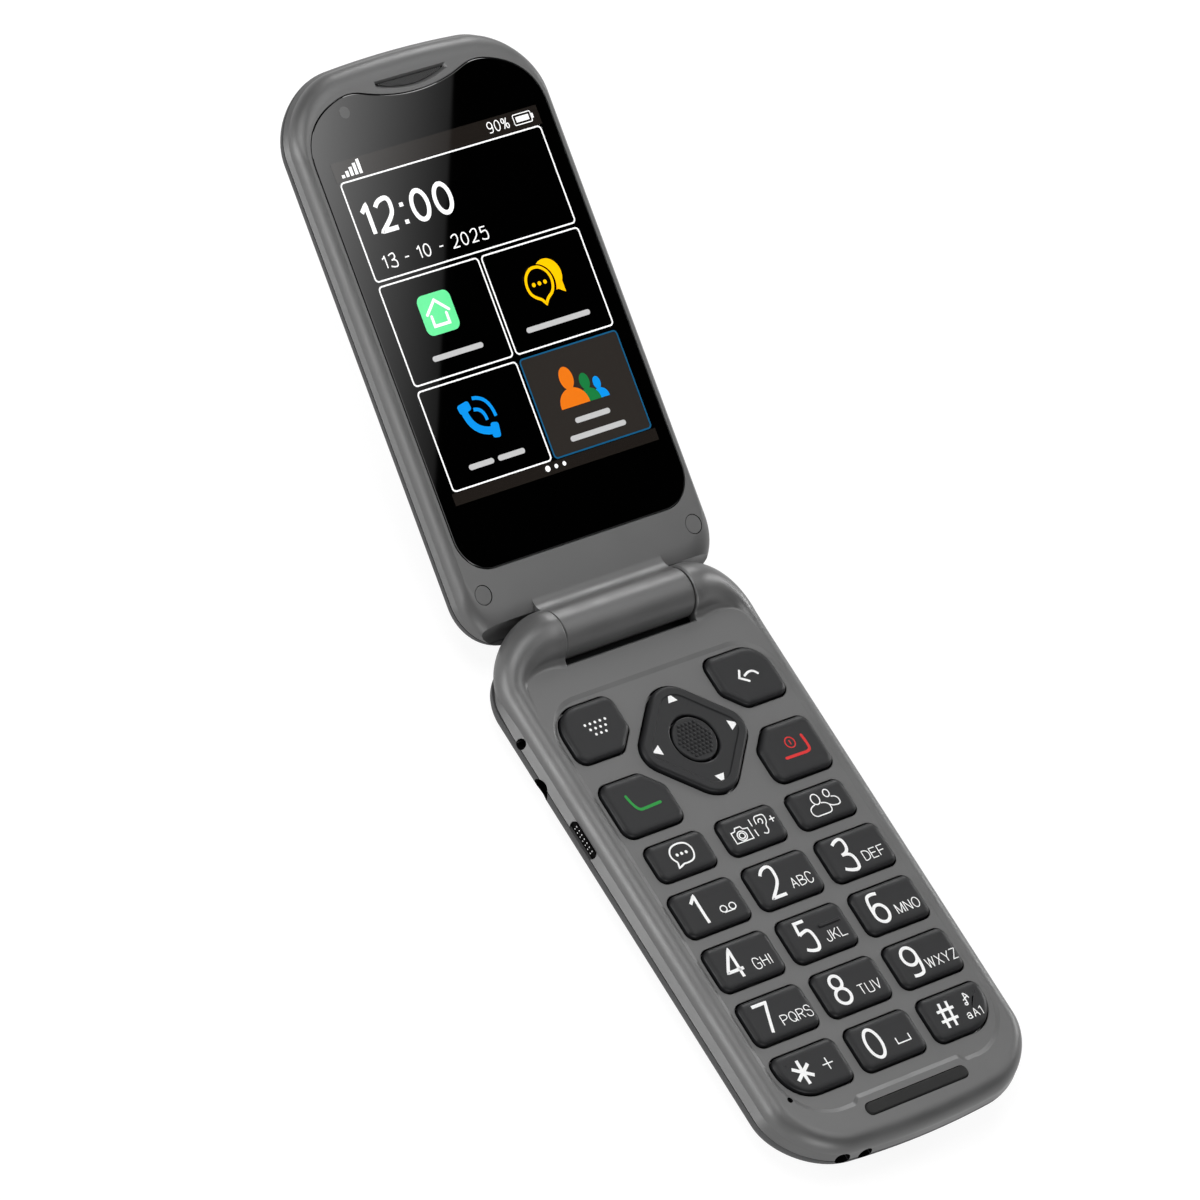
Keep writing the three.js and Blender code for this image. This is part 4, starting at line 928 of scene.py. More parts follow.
def tray_outline(grow):
    """The tray steps in above the rubber bar, with an eased run on both sides of the step."""
    points = capsule(
        TRAY_HALF + grow, TRAY_LOW - grow, TRAY_HIGH + grow, TRAY_CORNER + grow, TRAY_REAR_CORNER + grow)
    low = TRAY_LOW - grow
    reach = TRAY_TONGUE_HALF + TRAY_TONGUE_RUN + HAIR
    plain = [(x, y) for x, y in points if y > low + HAIR or abs(x) > reach]
    tongue = []
    for side in (-1, 1):
        run = []
        for step in range(ARC_STEPS + 1):
            share = step / ARC_STEPS
            ease = eased(share)
            run.append((side * (TRAY_TONGUE_HALF + TRAY_TONGUE_RUN * (1 - share)), low + TRAY_TONGUE * ease))
        tongue += run if side < 0 else list(reversed(run))
    return plain + tongue


def tray_cut():
    levels = [(0, TRAY_FLOOR), (TRAY_BEVEL, RIM_TOP), (TRAY_BEVEL, RIM_TOP + OVERRUN)]
    return loft("tray", [at_height(tray_outline(grow), z) for grow, z in levels])


# Corners count from the lower left one, against the clock, on the finished outline
NOTCHED_CORNERS = {"key_call": 2, "key_end": 3, "key_soft_left": 1, "key_soft_right": 0}
WIDE_CORNERS = {
    "key_star": (0, END_KEY_CORNER), "key_hash": (1, END_KEY_CORNER),
    "key_soft_left": (4, SOFT_KEY_CORNER), "key_soft_right": (3, SOFT_KEY_CORNER),
}


def key_outline(node):
    """The hole round a key's cap, from the frame's box of that key."""
    low, high = node_box(node)
    reach = KEY_FLANGE_REACH
    x0, y0, x1, y1 = low.x + reach, low.y + reach, high.x - reach, high.y - reach
    corners = [(x0, y0), (x1, y0), (x1, y1), (x0, y1)]
    radii = [KEY_CORNER] * 4
    notched = NOTCHED_CORNERS.get(node)
    if notched is not None:
        x, y = corners[notched]
        inwards_x = NOTCH if notched in (0, 3) else -NOTCH
        inwards_y = NOTCH if notched in (0, 1) else -NOTCH
        pair = [(x, y + inwards_y), (x + inwards_x, y)]
        if notched in (1, 3):
            pair.reverse()
        corners[notched:notched + 1] = pair
        radii = [NOTCH_CORNER] * 5
    if node in WIDE_CORNERS:
        corner, radius = WIDE_CORNERS[node]
        radii[corner] = radius
    return corners, radii


def pad_outline():
    """The diamond outline of the direction cap, with a tip towards each of the four ways."""
    middle_y = node_middle("direction_ring")[1]
    tips = [(0, middle_y - PAD_HALF), (PAD_HALF, middle_y), (0, middle_y + PAD_HALF), (-PAD_HALF, middle_y)]
    return tips, [PAD_TIP_CORNER, PAD_SIDE_CORNER] * 2


def key_names():
    return [body for body in frame["bodies"] if body.startswith("key_") and body != "key_ok"]


def key_hole(corners, radii):
    """A hole with a rounded edge. Its walls are painted black below the edge, as painted shade in the gap
    round the key.
    """
    levels = [(0, PLATE_BOTTOM - OVERRUN)]
    levels += [(grow, TRAY_FLOOR - drop) for grow, drop in rounding(HOLE_EDGE, HOLE_EDGE, steps=4)]
    levels.append((HOLE_EDGE, RIM_TOP + OVERRUN))
    rings = [at_height(rounded(corners, radii, grow), z) for grow, z in levels]
    return painted_shade_walls(loft("hole", rings), PAINT, TRAY_FLOOR - HOLE_EDGE * HOLE_SHADE_SHARE)


def barrel_pocket():
    """The room that the barrel and the lid's neck turn in."""
    round_part = cross_rod("pocket", POCKET_RADIUS, -POCKET_HALF, POCKET_HALF, HINGE_Y, HINGE_Z)
    top = HINGE_Z + FAR
    bottom = HINGE_Z - POCKET_RADIUS
    behind = box("behind", (-POCKET_HALF, HINGE_Y, bottom), (POCKET_HALF, HINGE_Y + FAR, top))
    front = HINGE_Y - POCKET_FRONT
    rear = HINGE_Y + POCKET_REAR
    low = RIM_TOP - POCKET_DEPTH
    profile = arc(front - POCKET_EDGE, RIM_TOP - POCKET_EDGE, POCKET_EDGE, math.pi / 2, 0)
    profile += [(front, low), (rear, low), (rear, top), (front - POCKET_EDGE, top)]
    return [round_part, behind, cross_prism("neck_room", profile, -POCKET_HALF, POCKET_HALF)]


def port_outline(grow=0):
    return pill(*PORT_SIZE, PORT_Y, PORT_Z, grow)


def side_tools(finish):
    """What opens the sockets, the small hole and the two contacts' holes, with their walls painted black as
    painted shade.
    """
    outside = -BASE_HALF - OVERRUN
    inside = -BASE_HALF + SOCKET_DEPTH
    tools = [cross_prism("port", port_outline(), outside, inside)]
    jack = (JACK_RADIUS, HINGE_Y - JACK_FROM_AXIS, SEAM_HEIGHT - JACK_UNDER_SEAM)
    hole = (HOLE_RADIUS, HINGE_Y - HOLE_FROM_AXIS, SEAM_HEIGHT + HOLE_OVER_SEAM)
    for radius, y, z in (jack, hole):
        tools.append(cross_rod("socket", radius, outside, inside, y, z, steps=SMALL_ROUND_STEPS))
    for x in CONTACT_XS:
        ys = (KEYPAD_END - OVERRUN, KEYPAD_END + CONTACT_DEPTH)
        tools.append(loft("contact", [end_ring(CONTACT_RADIUS, x, y, CONTACT_Z) for y in ys]))
    return [painted_shade_walls(tool, finish) for tool in tools]


def bar_outline(grow):
    return pill(*BAR_SIZE, 0, BAR_Y, grow)


def key_plate():
    low = KEYPAD_END + KEYPAD_BAND_REACH + PLATE_INSET
    high = HINGE_Y - PLATE_SHORT_OF_AXIS
    corner = KEYPAD_CORNER - BAND_REACH - PLATE_INSET
    outline = capsule(CREASE_HALF - PLATE_INSET, low, high, corner, PLATE_CORNER, KEYPAD_CROWN)
    return painted(prism("base_cover", outline, PLATE_BOTTOM, RIM_TOP), PAINT)


def base_cover():
    """The plate and the rim in one, cut open for the keys, the barrel, the bar and the sockets."""
    plate = key_plate()
    join(plate, [rim_strip()])
    under = box("under", (-FAR, -FAR, -FAR), (FAR, REAR_END + SEAM_GAP, COVER_BOTTOM))
    keys = [key_outline(name) for name in key_names()] + [pad_outline()]
    cut(plate, [under, tray_cut()] + [key_hole(*key) for key in keys] + barrel_pocket() + side_tools(PAINT))
    # The bar's hole and the mic hole leave walls painted black: painted shade in the hollows.
    bar_hole = prism("bar_hole", bar_outline(BAR_GAP), RIM_TOP - BAR_HOLE_DEPTH, RIM_TOP + OVERRUN)
    mic_outline = circle(MIC_RADIUS, *MIC_PLACE, steps=SMALL_ROUND_STEPS)
    mic = prism("mic", mic_outline, PLATE_BOTTOM - OVERRUN, RIM_TOP + OVERRUN)
    cut(plate, [painted_shade_walls(bar_hole, PAINT), painted_shade_walls(mic, PAINT)])
    finished(plate, PAINT, "base", "shell_grey", "base_front_cover")


def rubber_bar():
    rings = [at_height(bar_outline(0), RIM_TOP - BAR_SUNK)]
    for inset, drop in rounding(BAR_EDGE, BAR_EDGE, steps=7):
        rings.append(at_height(bar_outline(-inset), RIM_TOP + BAR_RISE - drop))
    finished(loft("front_bar", rings), RUBBER, "base", "rubber_black", "rubber_bar")


# The base's back


def back_ring(angle):
    inset = BAND_INSET + BACK_ROUNDING * (1 - math.cos(angle))
    outline = base_outline(inset, REAR_ROUNDING * (1 - math.cos(angle)))
    return at_height(outline, SHELL_TOP * (1 - math.sin(angle)))


def back_form(name):
    return loft(name, [back_ring(math.pi / 2 * step / ARC_STEPS) for step in range(ARC_STEPS, -1, -1)])


def cover_prism(grow, low, z0, z1):
    outline = rounded(
        [(-COVER_HALF, low), (COVER_HALF, low), (COVER_HALF, COVER_HIGH), (-COVER_HALF, COVER_HIGH)],
        [COVER_CORNER] * 4, grow)
    return prism("cover_tool", outline, z0, z1)


def speaker_slots():
    slots = []
    for i in range(SPEAKER_SLOTS):
        x = SPEAKER_X + (i - (SPEAKER_SLOTS - 1) / 2) * SPEAKER_PITCH
        slots.append(prism("slot", pill(*SPEAKER_SLOT, x, SPEAKER_Y), -OVERRUN, BACK_FLOOR + OVERRUN))
    return slots


def screw_holes():
    holes = []
    for i in range(4):
        outline = circle(SCREW_HOLE_RADIUS, *node_middle(f"base_screw_{i + 1}"), SMALL_ROUND_STEPS)
        holes.append(prism("screw", outline, -OVERRUN, SCREW_HOLE_DEPTH))
    return holes


def base_back():
    """The hollow back, with the cover's recess and the window that the battery goes in by."""
    shell = painted(back_form("base_back"), SHELL)
    wall = WALL + BAND_INSET
    hollow = [(HOLLOW_INSET, BACK_FLOOR), (wall, SHELL_TOP), (wall, SHELL_TOP + OVERRUN)]
    cavity = loft("cavity", [at_height(base_outline(inset, POCKET_RADIUS + WALL), z) for inset, z in hollow])
    recess = cover_prism(COVER_GAP, KEYPAD_END - OVERRUN, -OVERRUN, COVER_THICKNESS + COVER_LIFT)
    room = Vector((BATTERY_GAP, BATTERY_GAP, 0))
    low, high = node_box("battery")
    window = box("window", (*(low - room).xy, -OVERRUN), (*(high + room).xy, BATTERY_WINDOW_TOP))
    pocket = cross_rod("pocket", POCKET_RADIUS, -POCKET_HALF, POCKET_HALF, HINGE_Y, HINGE_Z)
    cut(shell, [cavity, recess, window, pocket] + speaker_slots() + screw_holes() + side_tools(SHELL))
    finished(shell, SHELL, "base", "shell_dark", "base_back_shell")


def battery_cover():
    cover = overlap(back_form("back_cover"), cover_prism(0, COVER_LOW, -OVERRUN, COVER_THICKNESS))
    for i in range(GRIPS):
        outline = pill(*GRIP_SIZE, 0, COVER_LOW + GRIP_START + i * GRIP_PITCH)
        cut(cover, [prism("grip", outline, -OVERRUN, GRIP_DEPTH)])
    finished(cover, SHELL, "battery_cover", "shell_dark", "battery_cover")


# Keys


def cap_levels(width=KEY_BEVEL_WIDTH, bottom=PLATE_BOTTOM):
    """Inset and height of a cap's rings, from the wall over the rounded slope to the flat top."""
    slope = [(KEY_GAP + inset, KEY_TOP - drop) for inset, drop in rounding(width, KEY_BEVEL_HEIGHT, steps=10)]
    return [(KEY_GAP, bottom)] + slope


SURFACES = {}


def keep_surface(cap, key):
    """Remembers a cap's shape, so that its legend can lie on it."""
    SURFACES[key] = BVHTree.FromPolygons(
        [v.co.copy() for v in cap.data.vertices], [tuple(p.vertices) for p in cap.data.polygons])


def key_cap(name):
    """A cap with rounded slopes and a slightly dished top."""
    corners, radii = key_outline(name)
    levels = cap_levels()
    inset = levels[-1][0]
    levels += [(inset + KEY_DISH_STEP, KEY_TOP - KEY_DISH / 2), (inset + KEY_DISH_REACH, KEY_TOP - KEY_DISH)]
    cap = loft(name + "_cap", [at_height(rounded(corners, radii, -inset), z) for inset, z in levels])
    keep_surface(cap, name)
    finished(cap, KEY, name, "key_charcoal", name)


def split_sides(outline, arc_points):
    """The outline with points added along its straight sides, which follow every arc."""
    points = []
    for i, point in enumerate(outline):
        points.append(point)
        if (i + 1) % arc_points == 0:
            after = outline[(i + 1) % len(outline)]
            for step in range(1, ARC_STEPS):
                points.append(tuple(a + (b - a) * step / ARC_STEPS for a, b in zip(point, after)))
    return points


def direction_cap():
    """A diamond with a raised border and a round bore for the middle key."""
    corners, radii = pad_outline()
    middle = Vector((0, corners[1][1]))
    bottom = PLATE_BOTTOM + ROCK_GAP
    floor = KEY_TOP - PAD_STEP
    levels = cap_levels(PAD_BEVEL_WIDTH, bottom)
    start = levels[-1][0] + PAD_BORDER
    levels += [(start, KEY_TOP), (start + PAD_STEP_RUN, floor)]
    rings = []
    for inset, z in levels:
        outline = split_sides(rounded(corners, radii, -inset), KEY_CORNER_STEPS + 1)
        rings.append(at_height(outline, z))
    spokes = [(Vector(p[:2]) - middle).normalized() for p in rings[-1]]
    bore = node_box("key_ok")[1].x + PAD_BORE_GAP
    edge = PAD_BORE_EDGE
    for grow, z in ((edge, floor), (edge / 3, floor - edge / 4), (0, floor - edge), (0, bottom)):
        rings.append([(*(middle + spoke * (bore + grow)), z) for spoke in spokes])
    cap = loft("direction_cap", rings, wrapped=True)
    finished(cap, KEY, "direction_ring", "key_charcoal", "direction_ring")


def ok_cap():
    """The round middle key, with rows of small bumps for the thumb."""
    x, y = node_middle("key_ok")
    radius = node_box("key_ok")[1].x - OK_RIM_GAP
    top = KEY_TOP - OK_SUNK
    rings = [at_height(circle(radius, x, y), PLATE_BOTTOM)]
    for inset, drop in rounding(OK_EDGE, OK_EDGE, steps=7):
        rings.append(at_height(circle(radius - inset, x, y), top - drop))
    finished(loft("ok_cap", rings), KEY, "key_ok", "key_charcoal", "key_ok")
    finished(ok_bumps(x, y, radius - OK_EDGE - OK_BUMP_RADIUS, top), KEY, "key_ok", "key_charcoal")


def ok_bumps(x, y, reach, top):
    levels = [(1, -OK_BUMP_SUNK)]
    levels += [(radius_share, rise_share * OK_BUMP_HEIGHT) for radius_share, rise_share in OK_BUMP_SHARES]
    row_pitch = OK_BUMP_PITCH * OK_BUMP_ROW_SHARE
    rows = math.ceil(reach / row_pitch)
    bumps = []
    for row in range(-rows, rows + 1):
        for column in range(-rows - 1, rows + 2):
            across = (column + row % 2 / 2) * OK_BUMP_PITCH
            along = row * row_pitch
            if math.hypot(across, along) < reach:
                rings = []
                for share, rise in levels:
                    outline = circle(OK_BUMP_RADIUS * share, x + across, y + along, OK_BUMP_SIDES)
                    rings.append(at_height(outline, top + rise))
                bumps.append(skin(rings))
    return merged("ok_bumps", bumps)


# Legends and display graphics: thin ribbons along lines, each sign drawn in a box of its own.
# A sign's lines are shares of its box. A curve leans on its inner points, and a doubled point is a corner.

STEM_SHARES = ("line", (0, 0), (0, 1))
FAR_STEM_SHARES = ("line", (1, 0), (1, 1))
SIGN_SHARES = {
    "0": [("ring", (0.5, 0.5), (0.5, 0.5))],
    "1": [("line", (0, 0.78), (1, 1), (1, 0))],
    "2": [("curve", (0.03, 0.84), (0.2, 1.02), (0.97, 1.1), (1.02, 0.62), (0.74, 0.36), (0, 0), (0, 0),
           (1, 0))],
    "3": [("curve", (0.08, 0.94), (0.3, 1.04), (0.98, 1.1), (1, 0.56), (0.35, 0.53)),
          ("curve", (0.35, 0.53), (1.1, 0.56), (1.12, -0.1), (0.3, -0.04), (0, 0.07))],
    "4": [("line", (0.74, 0), (0.74, 1), (0, 0.28), (1, 0.28))],
    "5": [("line", (0.93, 1), (0.17, 1), (0.1, 0.58)),
          ("curve", (0.1, 0.58), (0.3, 0.64), (1.08, 0.7), (1.1, -0.06), (0.3, -0.04), (0, 0.07))],
    "6": [("ring", (0.52, 0.31), (0.48, 0.31)),
          ("curve", (0.04, 0.34), (0.02, 0.92), (0.5, 1.03), (0.9, 0.98))],
    "7": [("line", (0, 1), (1, 1), (0.38, 0))],
    "8": [("ring", (0.5, 0.77), (0.4, 0.23)), ("ring", (0.5, 0.27), (0.5, 0.27))],
    "9": [("ring", (0.48, 0.69), (0.48, 0.31)),
          ("curve", (0.96, 0.66), (0.98, 0.08), (0.5, -0.03), (0.1, 0.02))],
    "A": [("line", (0, 0), (0.5, 1), (1, 0)), ("line", (0.19, 0.36), (0.81, 0.36))],
    "B": [STEM_SHARES, ("curve", (0, 1), (0.93, 1.02), (0.93, 0.53), (0, 0.53)),
          ("curve", (0, 0.53), (1.1, 0.53), (1.1, 0), (0, 0))],
    "C": [("curve", (0.97, 0.74), (0.85, 1.04), (0, 1.1), (0, -0.1), (0.85, -0.04), (0.98, 0.3))],
    "D": [STEM_SHARES, ("curve", (0, 1), (1.08, 1.04), (1.08, -0.04), (0, 0))],
    "E": [("line", (1, 1), (0, 1), (0, 0), (1, 0)), ("line", (0, 0.53), (0.88, 0.53))],
    "F": [("line", (1, 1), (0, 1), (0, 0)), ("line", (0, 0.5), (0.86, 0.5))],
    "G": [("curve", (0.94, 0.76), (0.82, 1.04), (0, 1.1), (0, -0.1), (0.98, -0.06), (0.98, 0.46),
           (0.98, 0.46), (0.55, 0.46))],
    "H": [STEM_SHARES, FAR_STEM_SHARES, ("line", (0, 0.53), (1, 0.53))],
    "I": [("line", (0.5, 0), (0.5, 1))],
    "J": [("curve", (1, 1), (1, 0.3), (1, -0.04), (0, -0.1), (0, 0.3))],
    "K": [STEM_SHARES, ("line", (0.95, 1), (0, 0.33)), ("line", (0.36, 0.58), (1, 0))],
    "L": [("line", (0, 1), (0, 0), (1, 0))],
    "M": [STEM_SHARES, ("line", (0, 1), (0.5, 0)), ("line", (0.5, 0), (1, 1)), FAR_STEM_SHARES],
    "N": [STEM_SHARES, ("line", (0, 1), (1, 0)), FAR_STEM_SHARES],
    "O": [("ring", (0.5, 0.5), (0.5, 0.5))],
    "P": [STEM_SHARES, ("curve", (0, 1), (1.08, 1.02), (1.08, 0.46), (0, 0.46))],
    "Q": [("ring", (0.5, 0.5), (0.5, 0.5)), ("line", (0.6, 0.24), (1, -0.04))],
    "R": [STEM_SHARES, ("curve", (0, 1), (1.05, 1.02), (1.05, 0.48), (0, 0.48)),
          ("line", (0.58, 0.48), (0.95, 0))],
    "S": [("curve", (0.94, 0.75), (0.85, 1.06), (0.02, 1.08), (-0.02, 0.58), (1.02, 0.52), (1, -0.1),
           (0.1, -0.06), (0.02, 0.28))],
    "T": [("line", (0, 1), (1, 1)), ("line", (0.5, 1), (0.5, 0))],
    "U": [("curve", (0, 1), (0, 0.3), (0, -0.06), (1, -0.06), (1, 0.3), (1, 1))],
    "V": [("line", (0, 1), (0.5, 0)), ("line", (0.5, 0), (1, 1))],
    "W": [("line", (0, 1), (0.26, 0)), ("line", (0.26, 0), (0.5, 1)), ("line", (0.5, 1), (0.74, 0)),
          ("line", (0.74, 0), (1, 1))],
    "X": [("line", (0, 0), (1, 1)), ("line", (0, 1), (1, 0))],
    "Y": [("line", (0, 1), (0.5, 0.45)), ("line", (1, 1), (0.5, 0.45)), ("line", (0.5, 0.45), (0.5, 0))],
    "Z": [("line", (0, 1), (1, 1), (0, 0), (1, 0))],
    "a": [("curve", (0.1, 0.5), (0.2, 0.68), (0.85, 0.72), (0.85, 0.4), (0.85, 0)),
          ("ring", (0.42, 0.2), (0.4, 0.19))],
    "%": [("ring", (0.22, 0.76), (0.2, 0.22)), ("ring", (0.78, 0.24), (0.2, 0.22)),
          ("line", (0.2, 0), (0.8, 1))],
    ":": [("line", (0.5, 0.02), (0.5, 0.16)), ("line", (0.5, 0.62), (0.5, 0.76))],
    "-": [("line", (0.1, 0.45), (0.9, 0.45))],
    "tape": [("ring", (0.2, 0.56), (0.2, 0.44)), ("ring", (0.8, 0.56), (0.2, 0.44)),
             ("line", (0.16, 0.06), (0.84, 0.06))],
    " ": [],
    "space": [("line", (0, 1), (0, 0), (1, 0), (1, 1))],
    "plus": [("line", (0, 0.5), (1, 0.5)), ("line", (0.5, 0), (0.5, 1))],
    "star": [("line", (0.5, 0), (0.5, 1)), ("line", (0.07, 0.25), (0.93, 0.75)),
             ("line", (0.07, 0.75), (0.93, 0.25))],
    "hash": [("line", (0.22, 0), (0.36, 1)), ("line", (0.64, 0), (0.78, 1)), ("line", (0, 0.3), (0.95, 0.3)),
             ("line", (0.05, 0.7), (1, 0.7))],
    "note": [("line", (0.45, 0.15), (0.45, 1)), ("curve", (0.45, 1), (0.9, 0.85), (0.95, 0.5)),
             ("ring", (0.25, 0.12), (0.18, 0.1)), ("line", (0.1, 0.45), (0.85, 0.7))],
    "call": [("curve", (0, 1), (0.08, 0), (0.5, 0.02), (0.5, 0.02), (1, 0.06))],
    "end": [("curve", (0, 0.03), (0.5, 0.02), (0.98, 0), (1, 0.5), (0.97, 1))],
    "power": [("ring", (0.5, 0.5), (0.5, 0.5)), ("line", (0.5, 0.3), (0.5, 0.72))],
    "back": [("curve", (0.22, 1), (0.02, 0.45), (0.02, 0.45), (0.4, 0)),
             ("curve", (0.33, 0.5), (0.8, 0.95), (1, 0.35))],
    "speech": [("curve", (0.12, 0.26), (-0.02, 0.44), (-0.02, 0.72), (0.16, 0.96), (0.52, 1.04), (0.88, 0.96),
                (1.04, 0.7), (1.02, 0.4), (0.84, 0.14), (0.5, 0.1), (0.36, 0.12), (0.36, 0.12), (0.04, 0),
                (0.04, 0), (0.12, 0.26))],
    "camera": [("line", (0.04, 0), (1, 0), (1, 0.76), (0.74, 0.8), (0.66, 1), (0.36, 1), (0.28, 0.8),
                (0.04, 0.76), (0.04, 0), (0.1, 0)),
               ("ring", (0.52, 0.4), (0.25, 0.32)), ("ring", (0.52, 0.4), (0.15, 0.19))],
    "divider": [("line", (0.4, 1), (0.5, 0.6)), ("line", (0.5, 0.4), (0.6, 0))],
    "ear": [("curve", (0.02, 0.62), (0, 1.02), (0.5, 1.04), (1.02, 1.02), (1, 0.6), (0.7, 0.42), (0.74, 0.12),
             (0.45, -0.06), (0.2, 0.08)),
            ("curve", (0.28, 0.66), (0.3, 0.84), (0.66, 0.84), (0.66, 0.6), (0.5, 0.55))],
    "people": [("ring", (0.31, 0.72), (0.14, 0.24)),
               ("curve", (0.2, 0.5), (-0.04, 0.46), (-0.04, -0.02), (0.31, -0.02), (0.66, -0.02),
                (0.66, 0.46), (0.42, 0.5)),
               ("ring", (0.76, 0.82), (0.1, 0.17)),
               ("curve", (0.66, 0.34), (0.68, 0.24), (1.05, 0.16), (1.05, 0.58), (0.85, 0.62))],
    "roof": [("line", (0, 0.5), (0.5, 1), (1, 0.5))],
    "walls": [("line", (0.16, 0.44), (0.16, 0), (0.84, 0), (0.84, 0.44))],
    "bubble": [("curve", (0.38, 0.14), (0.1, 0.26), (0, 0.54), (0.08, 0.82), (0.3, 0.99), (0.5, 1.02),
                (0.72, 0.98), (0.94, 0.8), (1, 0.54), (0.88, 0.26), (0.62, 0.14), (0.5, 0), (0.5, 0),
                (0.38, 0.14))],
    "waves": [("curve", (0.12, 1), (0.95, 0.95), (1, 0.05)), ("curve", (0, 0.55), (0.5, 0.52), (0.5, 0))],
    "grip": [("curve", (0, 1), (0.05, 0.1), (1, 0))],
}
CURVE_STEPS = 8
RING_STEPS = 40
FILM = 0.02
FILM_SUNK = 0.01
FILM_LAYER = 0.004
SPAN = 0.2
MITRE_LIMIT_SHARE = 0.7
ROUND_END_TURNS = tuple(math.radians(degrees) for degrees in (84, 60, 30))
MERGE_LENGTH = 0.001
LEGEND_SKY = 0.02
WIDTH_SHARES = {
    " ": 0.4, "1": 0.5, "I": 0.3, ":": 0.4, "-": 0.8, "J": 0.8,
    "W": 1.35, "M": 1.2, "O": 1.1, "Q": 1.1, "G": 1.1, "%": 1.3,
}


def spline(controls):
    """A smooth line that starts and ends on its controls and leans towards the ones between."""
    points = [controls[0]]
    start = controls[0]
    for i in range(1, len(controls) - 1):
        after = controls[i + 1]
        end = after if i == len(controls) - 2 else tuple((a + b) / 2 for a, b in zip(controls[i], after))
        points += quadratic(start, controls[i], end, CURVE_STEPS)
        start = end
    return points


def sign_lines(sign):
    """The lines of a sign as (points, closed) pairs in its unit box."""
    lines = []
    for kind, *points in SIGN_SHARES[sign]:
        if kind == "ring":
            (x, y), (across, up) = points
            lines.append(([(x + across * a, y + up * b) for a, b in circle(1, steps=RING_STEPS)], True))
        else:
            lines.append((points if kind == "line" else spline(points), False))
    return lines


def dense(line, closed):
    """The line with its long spans split, and without doubled points."""
    ends = line + line[:1] if closed else line
    points = [Vector(ends[0])]
    for spot in ends[1:]:
        step = Vector(spot) - points[-1]
        if step.length < MERGE_LENGTH:
            continue
        parts = max(1, math.ceil(step.length / SPAN))
        start = points[-1]
        points += [start + step * (part / parts) for part in range(1, parts + 1)]
    return points[:-1] if closed else points


def ribbon(line, width, closed=False, layer=0, round_ends=False):
    """Points and faces of a flat band, from just under the surface to just above it."""
    spots = dense(line, closed)
    halves = [width / 2] * len(spots)
    if round_ends and not closed:
        for turn in reversed(ROUND_END_TURNS):
            halves = [width / 2 * math.cos(turn)] + halves + [width / 2 * math.cos(turn)]
        first, last = spots[0], spots[-1]
        outward = (first - spots[1]).normalized() * width / 2
        onward = (last - spots[-2]).normalized() * width / 2
        spots = [first + outward * math.sin(turn) for turn in ROUND_END_TURNS] + spots
        spots += [last + onward * math.sin(turn) for turn in reversed(ROUND_END_TURNS)]
    count = len(spots)
    points, faces = [], []
    top = FILM + layer * FILM_LAYER
    for i, spot in enumerate(spots):
        before = spots[i - 1] if closed or i else spot * 2 - spots[1]
        after = spots[(i + 1) % count] if closed or i < count - 1 else spot * 2 - spots[-2]
        coming = (spot - before).normalized()
        going = (after - spot).normalized()
        along = (coming + going).normalized()
        across = Vector((-along.y, along.x)) * (halves[i] / max(along.dot(going), MITRE_LIMIT_SHARE))
        for side, z in ((-1, -FILM_SUNK), (-1, top), (1, top), (1, -FILM_SUNK)):
            points.append((*(spot + across * side), z))
    for i in range(count if closed else count - 1):
        j = (i + 1) % count
        for k in range(4):
            m = (k + 1) % 4
            faces.append((4 * i + k, 4 * i + m, 4 * j + m, 4 * j + k))
    if not closed:
        faces += [(3, 2, 1, 0), tuple(4 * (count - 1) + k for k in range(4))]
    return points, faces


def patch(outline, layer=0):
    """Points and faces of a flat patch."""
    count = len(outline)
    points = at_height(outline, -FILM_SUNK) + at_height(outline, FILM + layer * FILM_LAYER)
    faces = [tuple(reversed(range(count))), tuple(range(count, 2 * count))]
    faces += [(i, (i + 1) % count, count + (i + 1) % count, count + i) for i in range(count)]
    return points, faces


def sign_shapes(sign, centre, size, width, round_ends=False):
    """A sign in a box of this size, with the lines' width inside the box."""
    inner = [length - width for length in size]
    shapes = []
    for layer, (line, closed) in enumerate(sign_lines(sign)):
        placed = [tuple(centre[i] + (p[i] - 0.5) * inner[i] for i in range(2)) for p in line]
        shapes.append(ribbon(placed, width, closed, layer, round_ends))
    return shapes


def words(text, centre, height, width, letter_width, gap):
    """Upright lettering of even width, centred on a place. Narrow signs take less room."""
    spaces = [letter_width * WIDTH_SHARES.get(sign, 1) for sign in text]
    x = centre[0] - (sum(spaces) + gap * (len(text) - 1)) / 2
    shapes = []
    for sign, space in zip(text, spaces):
        shapes += sign_shapes(sign, (x + space / 2, centre[1]), (space, height), width)
        x += space + gap
    return shapes


def legend(name, shapes, key, finish=INK):
    """Ink that follows the top of its key. The shapes are placed from the key's middle."""
    x, y = node_middle(key)
    made = merged(name, [([(x + a, y + b, z) for a, b, z in points], faces) for points, faces in shapes])
    for vertex in made.data.vertices:
        above = Vector((vertex.co.x, vertex.co.y, LEGEND_SKY))
        hit = SURFACES[key].ray_cast(above, -Vector(UP))[0]
        if hit is not None:
            vertex.co.z += hit.z
    finished(made, finish, key, "key_charcoal")


